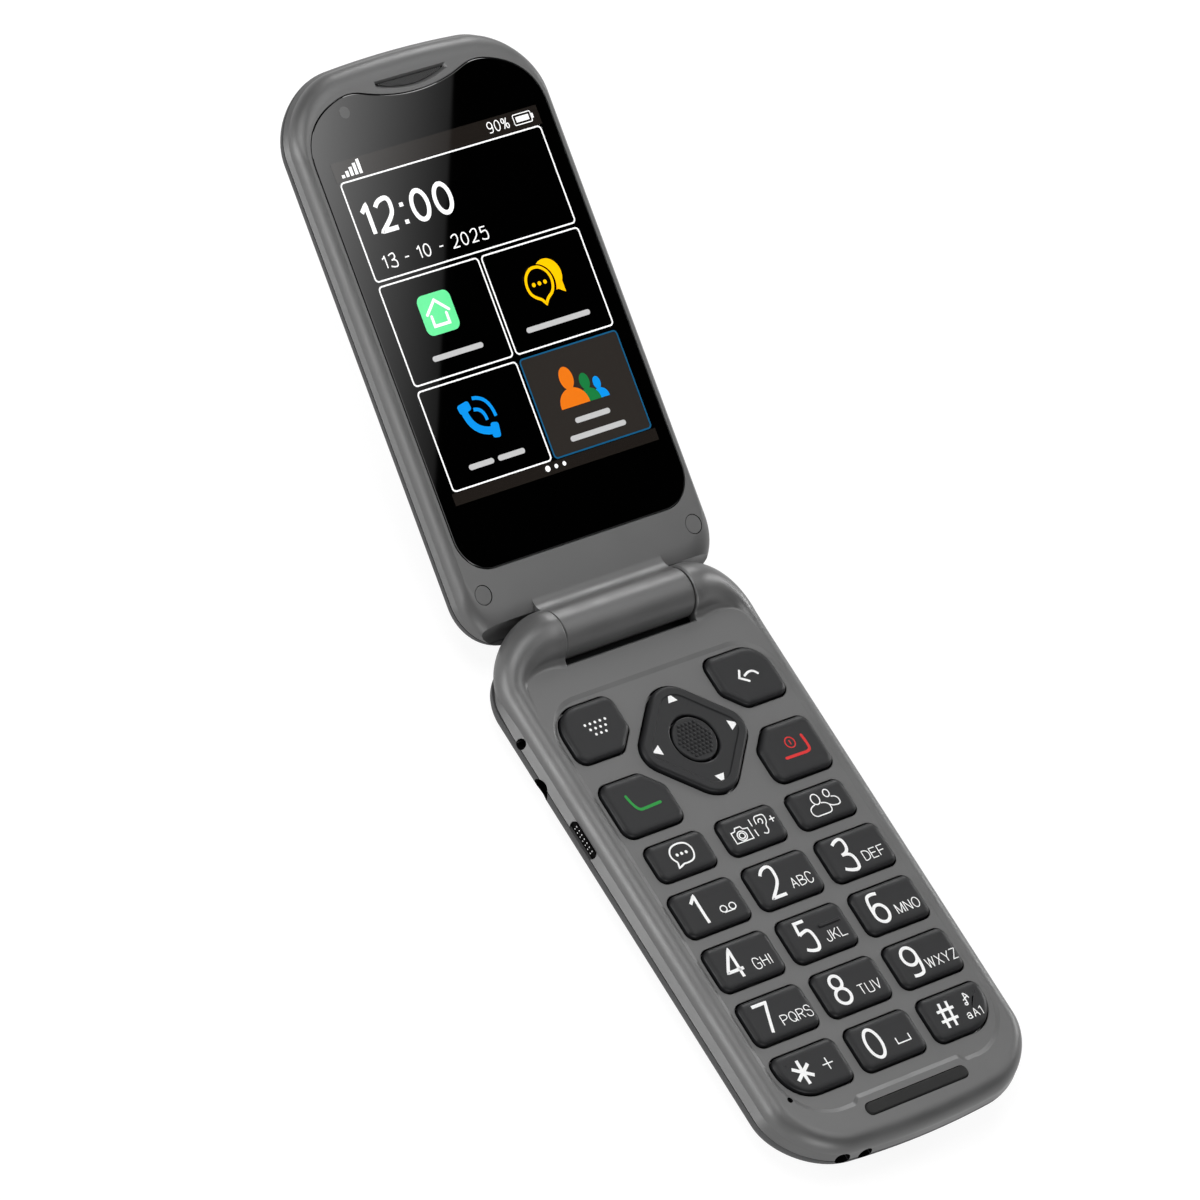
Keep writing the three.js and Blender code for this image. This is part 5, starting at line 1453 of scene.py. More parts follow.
# Signs and words on the keys: places are from a key's middle, sizes are width and height
THIN = 0.2
BOLD = 0.5
DIGIT_PLACE = (-2.75, 0.05)
DIGIT_HEIGHT = 5.6
DIGIT_STROKE = 0.56
DIGIT_WIDTHS = {
    "0": 3.5, "1": 1.8, "2": 3.4, "3": 3.2, "4": 3.8, "5": 3.1, "6": 3.5, "7": 3.4, "8": 3.4, "9": 3.5,
}
LETTER_PLACE = (2.75, -1.2)
LETTER_HEIGHT = 1.9
LETTER_WIDTH = 1.32
LETTER_GAP = 0.3
LETTER_STROKE = 0.16
KEY_LETTERS = {
    "2": "ABC", "3": "DEF", "4": "GHI", "5": "JKL", "6": "MNO", "7": "PQRS", "8": "TUV", "9": "WXYZ",
}
LEGENDS = {
    "tape": ("key_1", INK, [("tape", (2.7, -1.2), (3.3, 1.5), THIN)]),
    "space": ("key_0", INK, [("space", (2.8, -0.9), (2.9, 1.3), THIN)]),
    "star": ("key_star", INK, [
        ("star", (-2.3, 0), (4.5, 4.9), 0.6), ("plus", (2.85, -0.1), (2.3, 2.3), THIN)]),
    "hash": ("key_hash", INK, [
        ("hash", (-2.5, 0), (4.2, 4.9), BOLD), ("note", (2.4, 1.3), (1.7, 2.3), THIN)]),
    "call": ("key_call", GREEN_INK, [("call", (0.3, 0.35), (5.9, 3.4), BOLD, True)]),
    "end": ("key_end", RED_INK, [
        ("end", (0.3, 0), (5.8, 3.5), BOLD, True), ("power", (0, 0.95), (2.1, 2.1), THIN)]),
    "menu": ("key_soft_left", INK, []),
    "back": ("key_soft_right", INK, [("back", (0.2, 0), (4.3, 2.6), 0.4, True)]),
    "speech": ("key_function_left", INK, [("speech", (0, 0.05), (4.6, 4.2), 0.3)]),
    "camera": ("key_function_middle", INK, [
        ("camera", (-2.75, -0.2), (3.9, 2.8), THIN), ("divider", (0.1, 0.1), (0.7, 3.4), THIN),
        ("ear", (2.1, 0.1), (2.4, 3.4), THIN), ("plus", (4.3, 0.5), (1.3, 1.3), THIN)]),
    "people": ("key_function_right", INK, [("people", (0.1, 0.1), (6.0, 4.1), THIN)]),
}
CASE_WORDS = ("aA1", (2.4, -1.3), 1.6, 0.16, 1.15, 0.25)
MENU_DOTS = ((0.4, 1.1, 5), (0.4, 0.1, 4), (0.4, -0.9, 3))
MENU_DOT_PITCH = 1.05
MENU_DOT_RADIUS = 0.24
SPEECH_DOTS = ((0, 0.3, 3),)
SPEECH_DOT_PITCH = 0.95
SPEECH_DOT_RADIUS = 0.28
ARROW = ((-0.65, -0.95), (1.05, 0), (-0.65, 0.95))
ARROW_PLACES = ((0.2, 7.7, 90), (0.2, -7.7, 270), (-7.9, 0.1, 180), (8.1, 0.1, 0))


def number_legends():
    for digit, width in DIGIT_WIDTHS.items():
        shapes = sign_shapes(digit, DIGIT_PLACE, (width, DIGIT_HEIGHT), DIGIT_STROKE)
        if digit in KEY_LETTERS:
            letters = KEY_LETTERS[digit]
            shapes += words(letters, LETTER_PLACE, LETTER_HEIGHT, LETTER_STROKE, LETTER_WIDTH, LETTER_GAP)
        legend(f"legend_{digit}", shapes, "key_" + digit)


def dot_rows(rows, pitch, radius):
    """Rows of round dots, each row given by its middle and its number of dots."""
    dots = []
    for x, y, count in rows:
        for i in range(count):
            dots.append(patch(circle(radius, x + (i - (count - 1) / 2) * pitch, y, steps=20)))
    return dots


def sign_legends():
    """The signs of the other keys, and the small ones beside some digits. All of them are generic."""
    additions = {
        "hash": words(*CASE_WORDS),
        "menu": dot_rows(MENU_DOTS, MENU_DOT_PITCH, MENU_DOT_RADIUS),
        "speech": dot_rows(SPEECH_DOTS, SPEECH_DOT_PITCH, SPEECH_DOT_RADIUS),
    }
    for name, (key, finish, signs) in LEGENDS.items():
        shapes = []
        for sign in signs:
            shapes += sign_shapes(*sign)
        legend("legend_" + name, shapes + additions.get(name, []), key, finish)


def five_ridge():
    """A raised bar that the thumb can find."""
    x, y = node_middle("key_5")
    across, up = RIDGE_PLACE
    levels = ((0, -2 * KEY_DISH), (0, RIDGE_RISE / 2), (-RIDGE_EDGE, RIDGE_RISE))
    rings = []
    for grow, rise in levels:
        rings.append(at_height(pill(*RIDGE_SIZE, x + across, y + up, grow), KEY_TOP + rise))
    finished(loft("five_ridge", rings), KEY, "key_5", "key_charcoal")


def pad_arrows():
    middle_y = node_middle("direction_ring")[1]
    shapes = [patch(turned(ARROW, degrees, x, middle_y + y)) for x, y, degrees in ARROW_PLACES]
    made = merged("pad_arrows", shapes, KEY_TOP - PAD_STEP)
    finished(made, INK, "direction_ring", "key_charcoal")


# The lid


def lid_form():
    """The front frame before its cuts, from the seam up over the rim to the flat face."""
    rings = [at_height(lid_outline(BAND_INSET, LID_HINGE_END), LID_FRAME_BOTTOM)]
    rim_depth = LID_RIM_RADIUS * math.cos(LID_RIM_START)
    for step in range(ARC_STEPS, -1, -1):
        angle = math.pi / 2 * step / ARC_STEPS
        depth = rim_depth * (1 - math.cos(angle))
        cosine = math.cos(LID_RIM_START) - depth / LID_RIM_RADIUS
        inset = LID_BAND_REACH + LID_RIM_RADIUS * (1 - math.sqrt(1 - cosine ** 2))
        far_inset = LID_BAND_REACH + LID_FAR_RIM * (1 - math.sin(angle))
        hinge_end = LID_FACE_END - (LID_FACE_END - LID_HINGE_END) * math.sin(angle)
        rings.append(at_height(lid_outline(inset, hinge_end, far_inset), LID_FACE - depth))
    return loft("lid_frame", rings)


def knuckle_room():
    return cross_rod("knuckles", KNUCKLE_RADIUS + LID_KNUCKLE_GAP, -FAR, FAR, 0, 0)


def lid_frame():
    """The rimmed face in one with the barrel, hollow, and open for the glass, the ear slot and the plugs."""
    made = painted(lid_form(), PAINT)
    hollow = lid_outline(LID_BAND_REACH + WALL, LID_HOLLOW_FROM_AXIS)
    cut(made, [prism("cavity", hollow, LID_FRAME_BOTTOM - FAR, LID_FACE - LID_PLATE), knuckle_room()])
    join(made, [neck(), cross_rod("barrel", BARREL_RADIUS, -BARREL_HALF, BARREL_HALF, 0, 0, BARREL_EDGE)])
    recess_depth = GLASS_THICKNESS + GLASS_GAP
    recess = prism("recess", glass_outline(GLASS_GAP), LID_FACE - recess_depth, LID_FACE + OVERRUN)
    levels = [(0, -EAR_HOLE_DEPTH), (0, -EAR_DEPTH), (EAR_LIP, 0), (EAR_LIP, OVERRUN)]
    ear = loft("ear", [at_height(ear_outline(grow), LID_FACE + z) for grow, z in levels])
    # The slot's walls below its lip are painted black: painted shade.
    painted_shade_walls(ear, PAINT, LID_FACE - EAR_DEPTH)
    # The plugs' holes leave walls painted black: painted shade in the gap round each plug.
    plug_holes = []
    for place in PLUG_PLACES.values():
        outline = circle(PLUG_RADIUS + PLUG_GAP, *place)
        plug_holes.append(painted_shade_walls(prism("plug", outline, LID_FACE - PLUG_HOLE_DEPTH, LID_FACE + OVERRUN), PAINT))
    bush = cross_rod("bush", BUSH_RADIUS, BARREL_HALF - CARTRIDGE_DEPTH, BARREL_HALF + OVERRUN, 0, 0)
    shaft = cross_rod("shaft", SHAFT_RADIUS, -BARREL_HALF - OVERRUN, -BARREL_HALF + CARTRIDGE_DEPTH, 0, 0)
    cut(made, [recess, ear, bush, shaft] + plug_holes)
    finished(made, PAINT, "lid", "shell_grey", "lid_front_frame", place=LID_PLACE)


def neck():
    """The barrel runs into the lid's face through one hollow curve."""
    reach = math.sqrt((BARREL_RADIUS + NECK_RADIUS) ** 2 - (LID_FACE + NECK_RADIUS) ** 2)
    centre = (reach, LID_FACE + NECK_RADIUS)
    contact = math.atan2(centre[1], centre[0])
    curve = arc(*centre, NECK_RADIUS, -math.pi / 2, contact - math.pi)
    bottom = LID_FRAME_BOTTOM
    profile = [(0, bottom), (reach + OVERRUN, bottom), (reach + OVERRUN, LID_FACE)] + curve + [(0, 0)]
    return cross_prism("neck", profile, -BARREL_HALF, BARREL_HALF)


def ear_low(share, grow=0):
    """The slot's curved lower edge, at a share of the way from its middle to its end."""
    top = SCREEN_FROM_AXIS + EAR_TOP + grow
    return top - EAR_END - (EAR_HEIGHT - EAR_END) * (1 - share ** 2) - 2 * grow


def ear_outline(grow):
    half = EAR_HALF + grow
    top = SCREEN_FROM_AXIS + EAR_TOP + grow
    shares = [step / ARC_STEPS - 1 for step in range(ARC_STEPS * 2 + 1)]
    return [(half * share, ear_low(share, grow)) for share in shares] + [(half, top), (-half, top)]


def ear_holds(spot):
    share = spot.x / EAR_HALF
    high = SCREEN_FROM_AXIS + EAR_TOP - WEAVE_EDGE
    return abs(share) < WEAVE_END_SHARE and ear_low(share) + WEAVE_EDGE < spot.y < high


def ear_mesh():
    """A woven screen behind the earpiece opening, on a dark backing."""
    low = ear_low(0, -WEAVE_GAP)
    high = SCREEN_FROM_AXIS + EAR_TOP - WEAVE_GAP
    z = LID_FACE - EAR_DEPTH + WEAVE_GAP
    shapes = []
    for i in range(math.ceil(2 * (EAR_HALF + WEAVE_START) / WEAVE_CELL)):
        x = i * WEAVE_CELL - EAR_HALF - WEAVE_START
        for lean, layer in ((-1, 4), (1, 2)):
            start = Vector((x, low))
            end = Vector((x + lean * (high - low), high))
            wire = [start.lerp(end, step / WEAVE_SAMPLES) for step in range(WEAVE_SAMPLES + 1)]
            inside = [spot for spot in wire if ear_holds(spot)]
            if len(inside) > 1:
                shapes.append(ribbon([tuple(inside[0]), tuple(inside[-1])], WEAVE_WIRE, layer=layer))
    finished(merged("ear_weave", shapes, z), MESH_WIRE, "lid", "bright_metal", place=LID_PLACE)
    bottom, top = EAR_BACKING
    backing = prism("ear_backing", ear_outline(-WEAVE_EDGE), z + bottom, z + top)
    finished(backing, SOCKET_AND_SHADE, "lid", "socket_black", "earpiece_grille", place=LID_PLACE)


def plugs():
    for name, place in PLUG_PLACES.items():
        rings = [at_height(circle(PLUG_RADIUS, *place), LID_FACE - PLUG_DEPTH)]
        for inset, drop in rounding(PLUG_EDGE, PLUG_EDGE, steps=3):
            rings.append(at_height(circle(PLUG_RADIUS - inset, *place), LID_FACE - drop))
        finished(loft(name + "_cap", rings), PLUG, "lid", "plug_grey", name, place=LID_PLACE)


def cover_glass():
    rings = [at_height(glass_outline(0), LID_FACE - GLASS_THICKNESS)]
    for inset, drop in rounding(GLASS_EDGE, GLASS_EDGE, steps=4):
        rings.append(at_height(glass_outline(-inset), LID_FACE - drop))
    finished(loft("cover_glass", rings), GLASS, "lid", "screen_glass", "display_glass", place=LID_PLACE)


def lid_back():
    """The hollow back shell, rounded over to the back, with windows for the camera and its flash."""
    rings = []
    for step in range(ARC_STEPS, -1, -1):
        angle = math.pi / 2 * step / ARC_STEPS
        inset = BAND_INSET + LID_BACK_ROUNDING * (1 - math.cos(angle))
        hinge_end = LID_HINGE_END + LID_HINGE_ROUNDING * (1 - math.cos(angle))
        z = LID_SHELL_TOP + (LID_BACK - LID_SHELL_TOP) * math.sin(angle)
        rings.append(at_height(lid_outline(inset, hinge_end), z))
    shell = loft("lid_back", rings)
    wall = WALL + BAND_INSET
    hollow = [((LID_BACK_ROUNDING + WALL) / 2, LID_BACK + WALL), (wall, LID_SHELL_TOP - WALL / 2),
              (wall, LID_SHELL_TOP + OVERRUN)]
    cavity = loft("cavity", [at_height(lid_outline(inset, LID_CAVITY_FROM_AXIS), z) for inset, z in hollow])
    y = SCREEN_FROM_AXIS + CAMERA_ABOVE
    through = LID_BACK + WALL + OVERRUN
    windows = []
    for x, radius, top in ((0, WINDOW_RADIUS, LID_BACK + WINDOW_DEPTH), (0, LENS_RADIUS, through),
                           (FLASH_X, FLASH_RADIUS, through)):
        windows.append(prism("window", circle(radius, x, y), LID_BACK - OVERRUN, top))
    cut(shell, [cavity, knuckle_room()] + windows)
    finished(shell, SHELL, "lid", "shell_dark", "lid_back_shell", place=LID_PLACE)


# The display's picture, in the glass's plane, measured from the middle of the screen

SCREEN_SHIFT = 0.19
PICTURE_Z = LID_FACE + 0.004
SCREEN_HALVES = (21.6, 28.8)
STATUS_HEIGHT = 3.2
FOOT_HEIGHT = 2.0

# Tiles as their lower left and upper right corners
TILES = ((-21.2, 8.6, 21.1, 25.5), (-21.2, -9, -0.3, 8), (0.2, -9, 21.1, 8), (-21.2, -26.7, -0.3, -9.7))
CHOSEN_TILE = (0.2, -26.7, 21.1, -9.7)
TILE_CORNER = 0.8
TILE_LINE = 0.26

# Signal bars, and the charge sign's patches as width, height and middle
SIGNAL_BARS = 5
SIGNAL_PLACE = (-19.9, 26.1)
SIGNAL_PITCH = 0.9
SIGNAL_WIDTH = 0.6
SIGNAL_HEIGHT = 0.5
SIGNAL_GROWTH = 0.48
CELL_OUTLINE = (3.7, 1.75, 18.1, 27.3)
CELL_CORNER = 0.25
CELL_LINE = 0.16
CELL_PATCHES = ((2.7, 0.9, 18.1, 27.3), (0.4, 0.8, 20.2, 27.3))

# Words as text, middle, height, line, letter width and gap, and bars in place of names as middle and widths
CHARGE_WORDS = ("90%", (12.9, 27.3), 1.9, 0.17, 1.2, 0.3)
CLOCK_WORDS = ("12:00", (-10.1, 18.6), 5.6, 0.78, 3.9, 0.85)
DATE_WORDS = ("13 - 10 - 2025", (-7.6, 11.4), 2.2, 0.22, 1.5, 0.5)
NAME_BARS = (
    (-10.6, -5.6, (10.5,)), (10.6, -5.7, (13.5,)), (-10.7, -23.7, (5.2, 5.6)),
    (10.5, -21.8, (7.4,)), (10.5, -24.4, (11.8,)),
)
NAME_BAR_HEIGHT = 0.9
NAME_BAR_SPACE = 0.9
PAGE_DOTS = ((-1.8, 0.5), (0, 0.36), (1.7, 0.36))
PAGE_DOT_Y = -27.7

# The four tiles' signs: strokes as sign, middle, size, line and round ends, patches as size and middle
HOME_SQUARE = (6.8, 6.7, -11.6, 1.3)
HOME_CORNER = 1.3
HOME_ROOF = ("roof", (-11.6, 1.4), (5.0, 4.6), 0.5, True)
HOME_WALLS = ("walls", (-11.6, 1.2), (5.0, 4.2), 0.5, True)
REAR_BUBBLE = (2.75, 11.9, 1.9)
REAR_BUBBLE_TAIL = ((12.2, -0.3), (14.2, -1.5), (14.2, 0.7))
FRONT_BUBBLE = (3.3, 9.6, 0.9)
FRONT_BUBBLE_LINE = ("bubble", (9.6, 0.6), (6.0, 6.6), 0.5)
BUBBLE_DOTS = ((9.6, 1.0, 3),)
BUBBLE_DOT_PITCH = 1.2
BUBBLE_DOT_RADIUS = 0.36
HANDSET_GRIP = ("grip", (-11.5, -16.9), (5.6, 5.8), 1.3)
HANDSET_END = (1.6, 2.5)
HANDSET_END_CORNER = 0.5
HANDSET_END_PLACES = ((-13.35, -14.4, 100), (-8.9, -19.2, 170))
HANDSET_WAVES = ("waves", (-9.8, -15.3), (4.4, 4.6), 0.6)
FIGURES = ((13.6, 0.66, LIT_BLUE), (11.3, 0.86, LIT_LEAF), (8.0, 1.2, LIT_ORANGE))
FIGURE_Y = -19.5
FIGURE_FOOT = 2.5
FIGURE_SHOULDER = 2.2
FIGURE_CROWN = 2.6
FIGURE_HEAD = (1.15, 1.6)
FIGURE_HEAD_Y = 3.9


def lit(name, shapes, finish, layer=0):
    """A patch of the picture. Higher layers lie over lower ones."""
    moved = []
    for points, faces in shapes:
        moved.append(([(x + SCREEN_SHIFT, y + SCREEN_FROM_AXIS, z) for x, y, z in points], faces))
    finished(merged(name, moved, PICTURE_Z + layer * FILM), finish, "lid", "screen_glass", place=LID_PLACE)


def tile_outline(x0, y0, x1, y1, grow=0, steps=KEY_CORNER_STEPS):
    return rounded([(x0, y0), (x1, y0), (x1, y1), (x0, y1)], [TILE_CORNER] * 4, grow, steps)


def tile_line(corners):
    return ribbon(tile_outline(*corners, grow=-TILE_LINE / 2, steps=5), TILE_LINE, closed=True)


def name_bars(x, y, widths):
    """Rounded bars where a name would be."""
    left = x - (sum(widths) + NAME_BAR_SPACE * (len(widths) - 1)) / 2
    shapes = []
    for width in widths:
        shapes.append(patch(pill(width, NAME_BAR_HEIGHT, left + width / 2, y)))
        left += width + NAME_BAR_SPACE
    return shapes


def status_line():
    signal = []
    x, y = SIGNAL_PLACE
    for i in range(SIGNAL_BARS):
        height = SIGNAL_HEIGHT + i * SIGNAL_GROWTH
        signal.append(patch(rectangle(SIGNAL_WIDTH, height, x + i * SIGNAL_PITCH, y + height / 2)))
    lit("signal_bars", signal, LIT_WHITE, layer=1)
    charge = words(*CHARGE_WORDS)
    charge.append(ribbon(rounded(rectangle(*CELL_OUTLINE), [CELL_CORNER] * 4), CELL_LINE, closed=True))
    charge += [patch(rectangle(*place)) for place in CELL_PATCHES]
    lit("charge_signs", charge, LIT_WHITE, layer=1)


def screen_picture():
    """Strips, tiles, a clock and generic signs, in layers on the glass."""
    half, tall = SCREEN_HALVES
    lit("status_strip", [patch(rectangle(2 * half, STATUS_HEIGHT, 0, tall - STATUS_HEIGHT / 2))], LIT_BROWN)
    lit("foot_strip", [patch(rectangle(2 * half, FOOT_HEIGHT, 0, FOOT_HEIGHT / 2 - tall))], LIT_BROWN)
    lit("tile_lines", [tile_line(corners) for corners in TILES], LIT_WHITE, layer=1)
    lit("tile_chosen", [patch(tile_outline(*CHOSEN_TILE))], LIT_TILE)
    lit("tile_chosen_line", [tile_line(CHOSEN_TILE)], LIT_LINE_BLUE, layer=1)
    status_line()
    lit("clock_signs", words(*CLOCK_WORDS) + words(*DATE_WORDS), LIT_WHITE, layer=1)
    lit("word_bars", [bar for place in NAME_BARS for bar in name_bars(*place)], LIT_GREY, layer=1)
    home_sign()
    bubble_sign()
    handset_sign()
    people_sign()
    dots = [patch(circle(radius, x, PAGE_DOT_Y, steps=24)) for x, radius in PAGE_DOTS]
    lit("page_dots", dots, LIT_WHITE, layer=1)


def home_sign():
    """A plain house on a green square."""
    lit("home_square", [patch(rounded(rectangle(*HOME_SQUARE), [HOME_CORNER] * 4))], LIT_GREEN, layer=1)
    lit("home_house", sign_shapes(*HOME_ROOF) + sign_shapes(*HOME_WALLS), LIT_WHITE, layer=2)


def bubble_sign():
    """Two speech bubbles, the front one with three dots."""
    rear = [patch(circle(*REAR_BUBBLE, steps=48)), patch(REAR_BUBBLE_TAIL)]
    lit("bubble_rear", rear, LIT_YELLOW, layer=1)
    lit("bubble_shade", [patch(circle(*FRONT_BUBBLE, steps=48))], LIT_BLACK, layer=2)
    dots = dot_rows(BUBBLE_DOTS, BUBBLE_DOT_PITCH, BUBBLE_DOT_RADIUS)
    lit("bubble_front", sign_shapes(*FRONT_BUBBLE_LINE) + dots, LIT_YELLOW, layer=3)


def handset_sign():
    """A slanted handset with two sound arcs."""
    shapes = sign_shapes(*HANDSET_GRIP)
    end = rounded(rectangle(*HANDSET_END), [HANDSET_END_CORNER] * 4)
    for x, y, degrees in HANDSET_END_PLACES:
        shapes.append(patch(turned(end, degrees, x, y), layer=3))
    lit("handset", shapes + sign_shapes(*HANDSET_WAVES), LIT_BLUE, layer=1)


def people_sign():
    """Three plain figures in a row, each a size larger than the one behind it."""
    y = FIGURE_Y
    for i, (x, size, finish) in enumerate(FIGURES):
        foot, shoulder, crown = FIGURE_FOOT * size, FIGURE_SHOULDER * size, FIGURE_CROWN * size
        torso = [(x - foot, y)] + quadratic((x - foot, y), (x - foot, y + shoulder), (x, y + crown), 10)
        torso += quadratic((x, y + crown), (x + foot, y + shoulder), (x + foot, y), 10)
        across, up = FIGURE_HEAD
        middle_y = y + FIGURE_HEAD_Y * size
        head = [(x + a * across * size, middle_y + b * up * size) for a, b in circle(1, steps=28)]
        lit(f"figure_{i + 1}", [patch(torso), patch(head, layer=1)], finish, layer=1 + i)


# Small pieces


def port_dots():
    """Two rows of small contacts on the charging socket's dark back."""
    outline = port_outline(-PORT_BACKING_GAP)
    backing = cross_prism("port_backing", outline, PORT_BACK, PORT_BACK + PORT_BACKING)
    finished(backing, SOCKET_AND_SHADE, "base", "socket_black")
    dot = 0
    for row in (-1, 1):
        for i in range(PORT_DOTS):
            dot += 1
            y = PORT_Y + (i - (PORT_DOTS - 1) / 2) * PORT_DOT_PITCH
            z = PORT_Z + row * PORT_DOT_ROW_OFFSET
            rings = []
            for depth, radius in PORT_DOT_RINGS:
                rings.append(cross_ring(radius, PORT_BACK + depth, y, z, PORT_DOT_STEPS))
            finished(loft(f"port_dot_{dot}", rings), METAL, "base", "bright_metal")


def contacts():
    """The two charging contacts, set back in their holes."""
    for i, x in enumerate(CONTACT_XS):
        rings = [end_ring(radius, x, KEYPAD_END + depth, CONTACT_Z) for depth, radius in CONTACT_RINGS]
        node = f"charging_contact_{i + 1}"
        finished(loft(f"contact_{i + 1}", rings), METAL, "base", "bright_metal", node)


def front_sensor():
    x, y = SENSOR_PLACE
    lit("sensor_window", [patch(circle(SENSOR_RADIUS, x - SCREEN_SHIFT, y, SMALL_ROUND_STEPS))], SENSOR)


# The studio


def math_node(tree, operation, *values, clamped=False):
    """One sum on numbers or on the outputs of other nodes."""
    made = tree.nodes.new("ShaderNodeMath")
    made.operation = operation
    made.use_clamp = clamped
    for socket, value in zip(made.inputs, values):
        if isinstance(value, (int, float)):
            socket.default_value = value
        else:
            tree.links.new(value, socket)
    return made.outputs["Value"]


def studio_floor():
    """A white floor that glows to the camera and in reflections, so that no edge of it shows."""
    half = FLOOR_HALF
    floor = box("floor", (-half, -half, -FLOOR_THICKNESS), (half, half, 0))
    made, tree, shader = new_material("floor_white", (0.9, 0.9, 0.9), roughness=0.8)
    rays = tree.nodes.new("ShaderNodeLightPath").outputs
    glow = tree.nodes.new("ShaderNodeEmission")
    glow.inputs["Color"].default_value = (1, 1, 1, 1)
    glow.inputs["Strength"].default_value = FLOOR_GLOW
    mix = tree.nodes.new("ShaderNodeMixShader")
    seen = math_node(tree, "MAXIMUM", rays["Is Camera Ray"], rays["Is Glossy Ray"])
    tree.links.new(math_node(tree, "MULTIPLY", seen, FLOOR_GLOW_SHARE), mix.inputs["Fac"])
    tree.links.new(shader.outputs["BSDF"], mix.inputs[1])
    tree.links.new(glow.outputs["Emission"], mix.inputs[2])
    tree.links.new(mix.outputs["Shader"], tree.nodes["Material Output"].inputs["Surface"])
    floor.data.materials.append(made)
    floor.location = (0, 0, -FLOOR_DROP * MM)


def studio_world():
    """White to the camera. The phone sees bright walls and a dimmer ceiling."""
    world = bpy.data.worlds.new("studio")
    bpy.context.scene.world = world
    world.use_nodes = True
    tree = world.node_tree
    background = tree.nodes["Background"]
    background.inputs["Color"].default_value = (1, 1, 1, 1)
    rays = tree.nodes.new("ShaderNodeLightPath").outputs
    seen = math_node(tree, "MAXIMUM", rays["Is Camera Ray"], rays["Is Transmission Ray"])
    place = tree.nodes.new("ShaderNodeTexCoord")
    split = tree.nodes.new("ShaderNodeSeparateXYZ")
    tree.links.new(place.outputs["Generated"], split.inputs["Vector"])
    low = math_node(tree, "SUBTRACT", 1.0, split.outputs["Z"], clamped=True)
    band = math_node(tree, "POWER", low, WALL_POWER)
    room = math_node(tree, "MULTIPLY_ADD", band, WALL_STRENGTH - CEILING_STRENGTH, CEILING_STRENGTH)
    mix = tree.nodes.new("ShaderNodeMix")
    tree.links.new(seen, mix.inputs["Factor"])
    tree.links.new(room, mix.inputs["A"])
    mix.inputs["B"].default_value = 1
    tree.links.new(mix.outputs["Result"], background.inputs["Strength"])


def lamp(name, place, aim, size, power):
    light = bpy.data.lights.new(name, "AREA")
    light.shape = "DISK"
    light.size = size
    light.energy = power
    made = bpy.data.objects.new(name, light)
    made.location = place
    made.rotation_euler = (Vector(aim) - Vector(place)).to_track_quat("-Z", "Y").to_euler()
    bpy.context.scene.collection.objects.link(made)
    return made


def studio_lamps():
    """Each lamp stands off the middle of the hinge in its own direction."""
    middle = Vector((0, HINGE_Y * MM, HINGE_Z * MM))
    for name, direction, size, power in LAMPS:
        place = middle + Vector(direction).normalized() * LAMP_DISTANCE_M
        lamp(name, place, middle, size, power)


def card_frame():
    """The way that the camera's view leaves the glass, and what maps a glass place to the card's plane."""
    normal = Matrix.Rotation(OPEN_TILT, 3, "X") @ Vector(UP)
    middle = (LID_PLACE @ Vector((0, SCREEN_FROM_AXIS, LID_FACE))) * MM

    def reflected(spot):
        ray = (spot - CAMERA_PLACE_M).normalized()
        return ray - 2 * ray.dot(normal) * normal

    bounce = reflected(middle)
    centre = middle + bounce * CARD_DISTANCE_M

    def on_card(x, y):
        spot = (LID_PLACE @ Vector((x, SCREEN_FROM_AXIS + y, LID_FACE))) * MM
        ray = reflected(spot)
        return spot + ray * ((centre - spot).dot(bounce) / ray.dot(bounce))

    return bounce, on_card


def gleam_material(start, gradient):
    """Bright on one side of the card's middle line, fading away from the gleam's brightest corner."""
    made = bpy.data.materials.new("card_gleam")
    made.use_nodes = True
    tree = made.node_tree
    tree.nodes.remove(tree.nodes["Principled BSDF"])
    place = tree.nodes.new("ShaderNodeTexCoord")
    split = tree.nodes.new("ShaderNodeSeparateXYZ")
    tree.links.new(place.outputs["Object"], split.inputs["Vector"])
    side = math_node(tree, "MULTIPLY", split.outputs["Y"], 1 / CARD_EDGE_M, clamped=True)
    along = math_node(tree, "MULTIPLY_ADD", split.outputs["X"], gradient.x, -gradient.dot(start))
    far = math_node(tree, "MULTIPLY_ADD", split.outputs["Y"], gradient.y, along)
    near = math_node(tree, "SUBTRACT", 1.0, far, clamped=True)
    level = math_node(tree, "MULTIPLY", math_node(tree, "MULTIPLY", near, near), side)
    glow = tree.nodes.new("ShaderNodeEmission")
    tree.links.new(math_node(tree, "MULTIPLY", level, CARD_STRENGTH), glow.inputs["Strength"])
    tree.links.new(glow.outputs["Emission"], tree.nodes["Material Output"].inputs["Surface"])
    return made


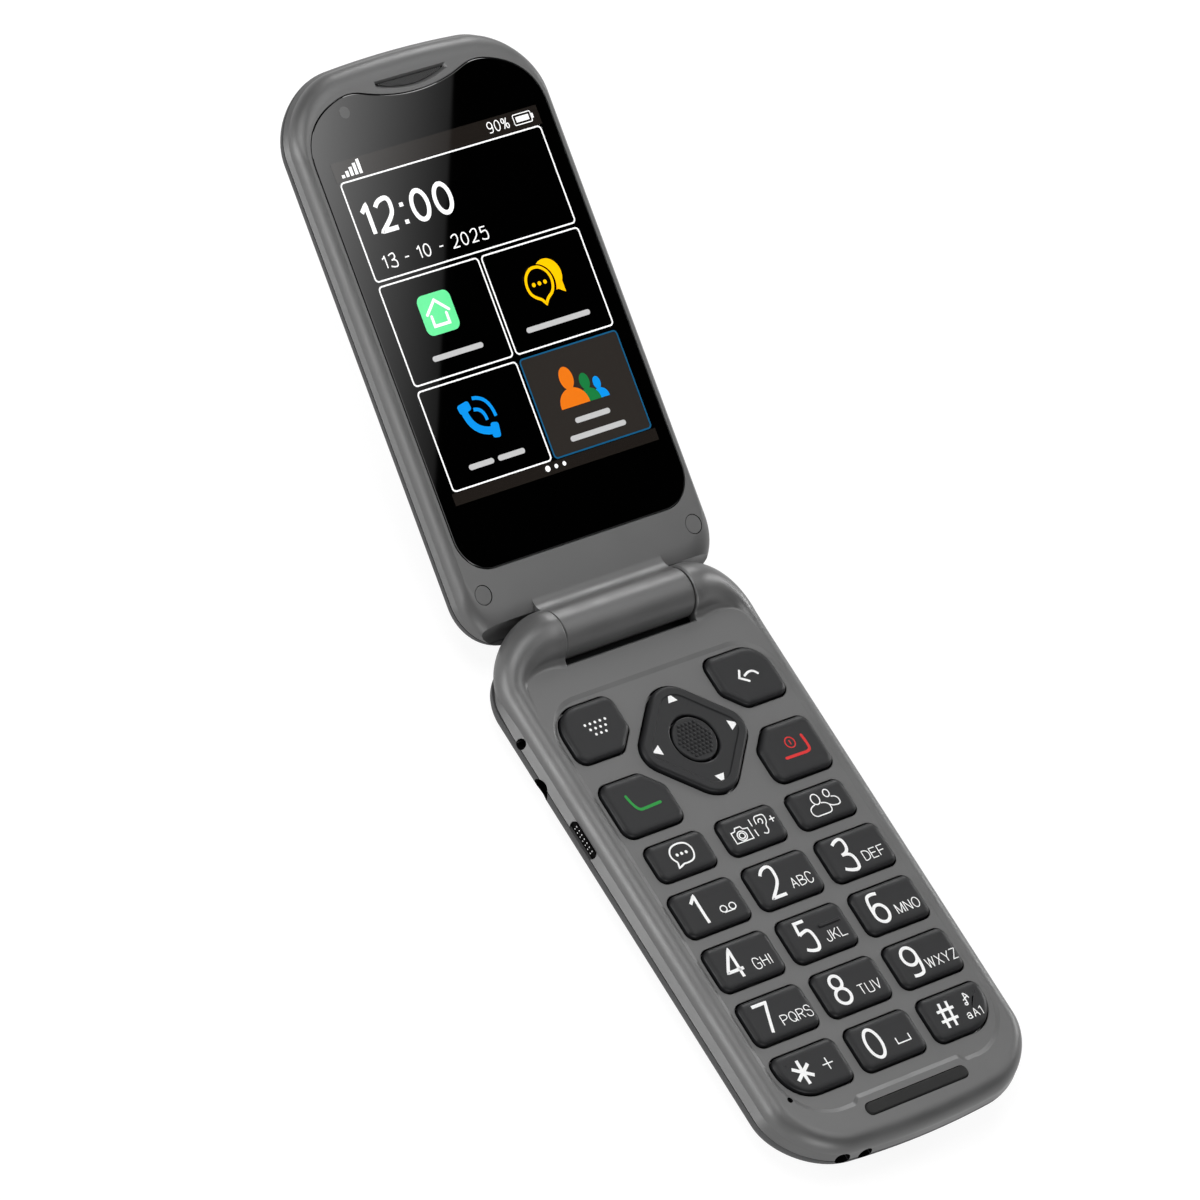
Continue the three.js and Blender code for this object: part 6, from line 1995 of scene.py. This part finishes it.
def glass_card():
    """A dark card with one bright side, which only reflections see. It draws the gleam on the glass."""
    bounce, on_card = card_frame()
    high, low = (on_card(*spot) for spot in GLEAM_EDGE)
    along = (high - low).normalized()
    across = bounce.cross(along).normalized()
    bright = on_card(*GLEAM_START)
    if (bright - high).dot(across) < 0:
        across = -across
    origin = (high + low) / 2

    def local(spot):
        return Vector(((spot - origin).dot(along), (spot - origin).dot(across)))

    start = local(bright)
    x, y = GLEAM_START
    steps = [local(on_card(x + GLEAM_REACH, y)) - start, local(on_card(x, y - GLEAM_REACH)) - start]
    gradient = Matrix(steps).inverted() @ Vector((GLEAM_ACROSS_SHARE, GLEAM_DOWN_SHARE))
    mesh = bpy.data.meshes.new("glass_card")
    corners = at_height(rectangle(2 * CARD_HALF_M, 2 * CARD_HALF_M), 0)
    mesh.from_pydata(corners, [], [(0, 1, 2, 3)])
    mesh.materials.append(gleam_material(start, gradient))
    card = bpy.data.objects.new("glass_card", mesh)
    turn = Matrix((along, across, along.cross(across))).transposed()
    card.matrix_world = Matrix.Translation(origin) @ turn.to_4x4()
    bpy.context.scene.collection.objects.link(card)
    card.visible_camera = False
    card.visible_diffuse = False
    card.visible_shadow = False
    card.visible_transmission = False


def photo_camera():
    data = bpy.data.cameras.new("camera")
    data.sensor_width = CAMERA_SENSOR
    data.lens = CAMERA_LENS
    data.clip_end = CAMERA_REACH_M
    camera = bpy.data.objects.new("camera", data)
    camera.location = CAMERA_PLACE_M
    camera.rotation_euler = CAMERA_TURN
    bpy.context.scene.collection.objects.link(camera)
    bpy.context.scene.camera = camera


photo_camera()
paint_frame()
base_cover()
rubber_bar()
base_back()
battery_cover()
for key in key_names():
    key_cap(key)
direction_cap()
ok_cap()
number_legends()
sign_legends()
five_ridge()
pad_arrows()
lid_frame()
lid_back()
cover_glass()
ear_mesh()
plugs()
screen_picture()
front_sensor()
port_dots()
contacts()
studio_floor()
studio_world()
studio_lamps()
glass_card()
bpy.context.scene.view_settings.view_transform = "Standard"
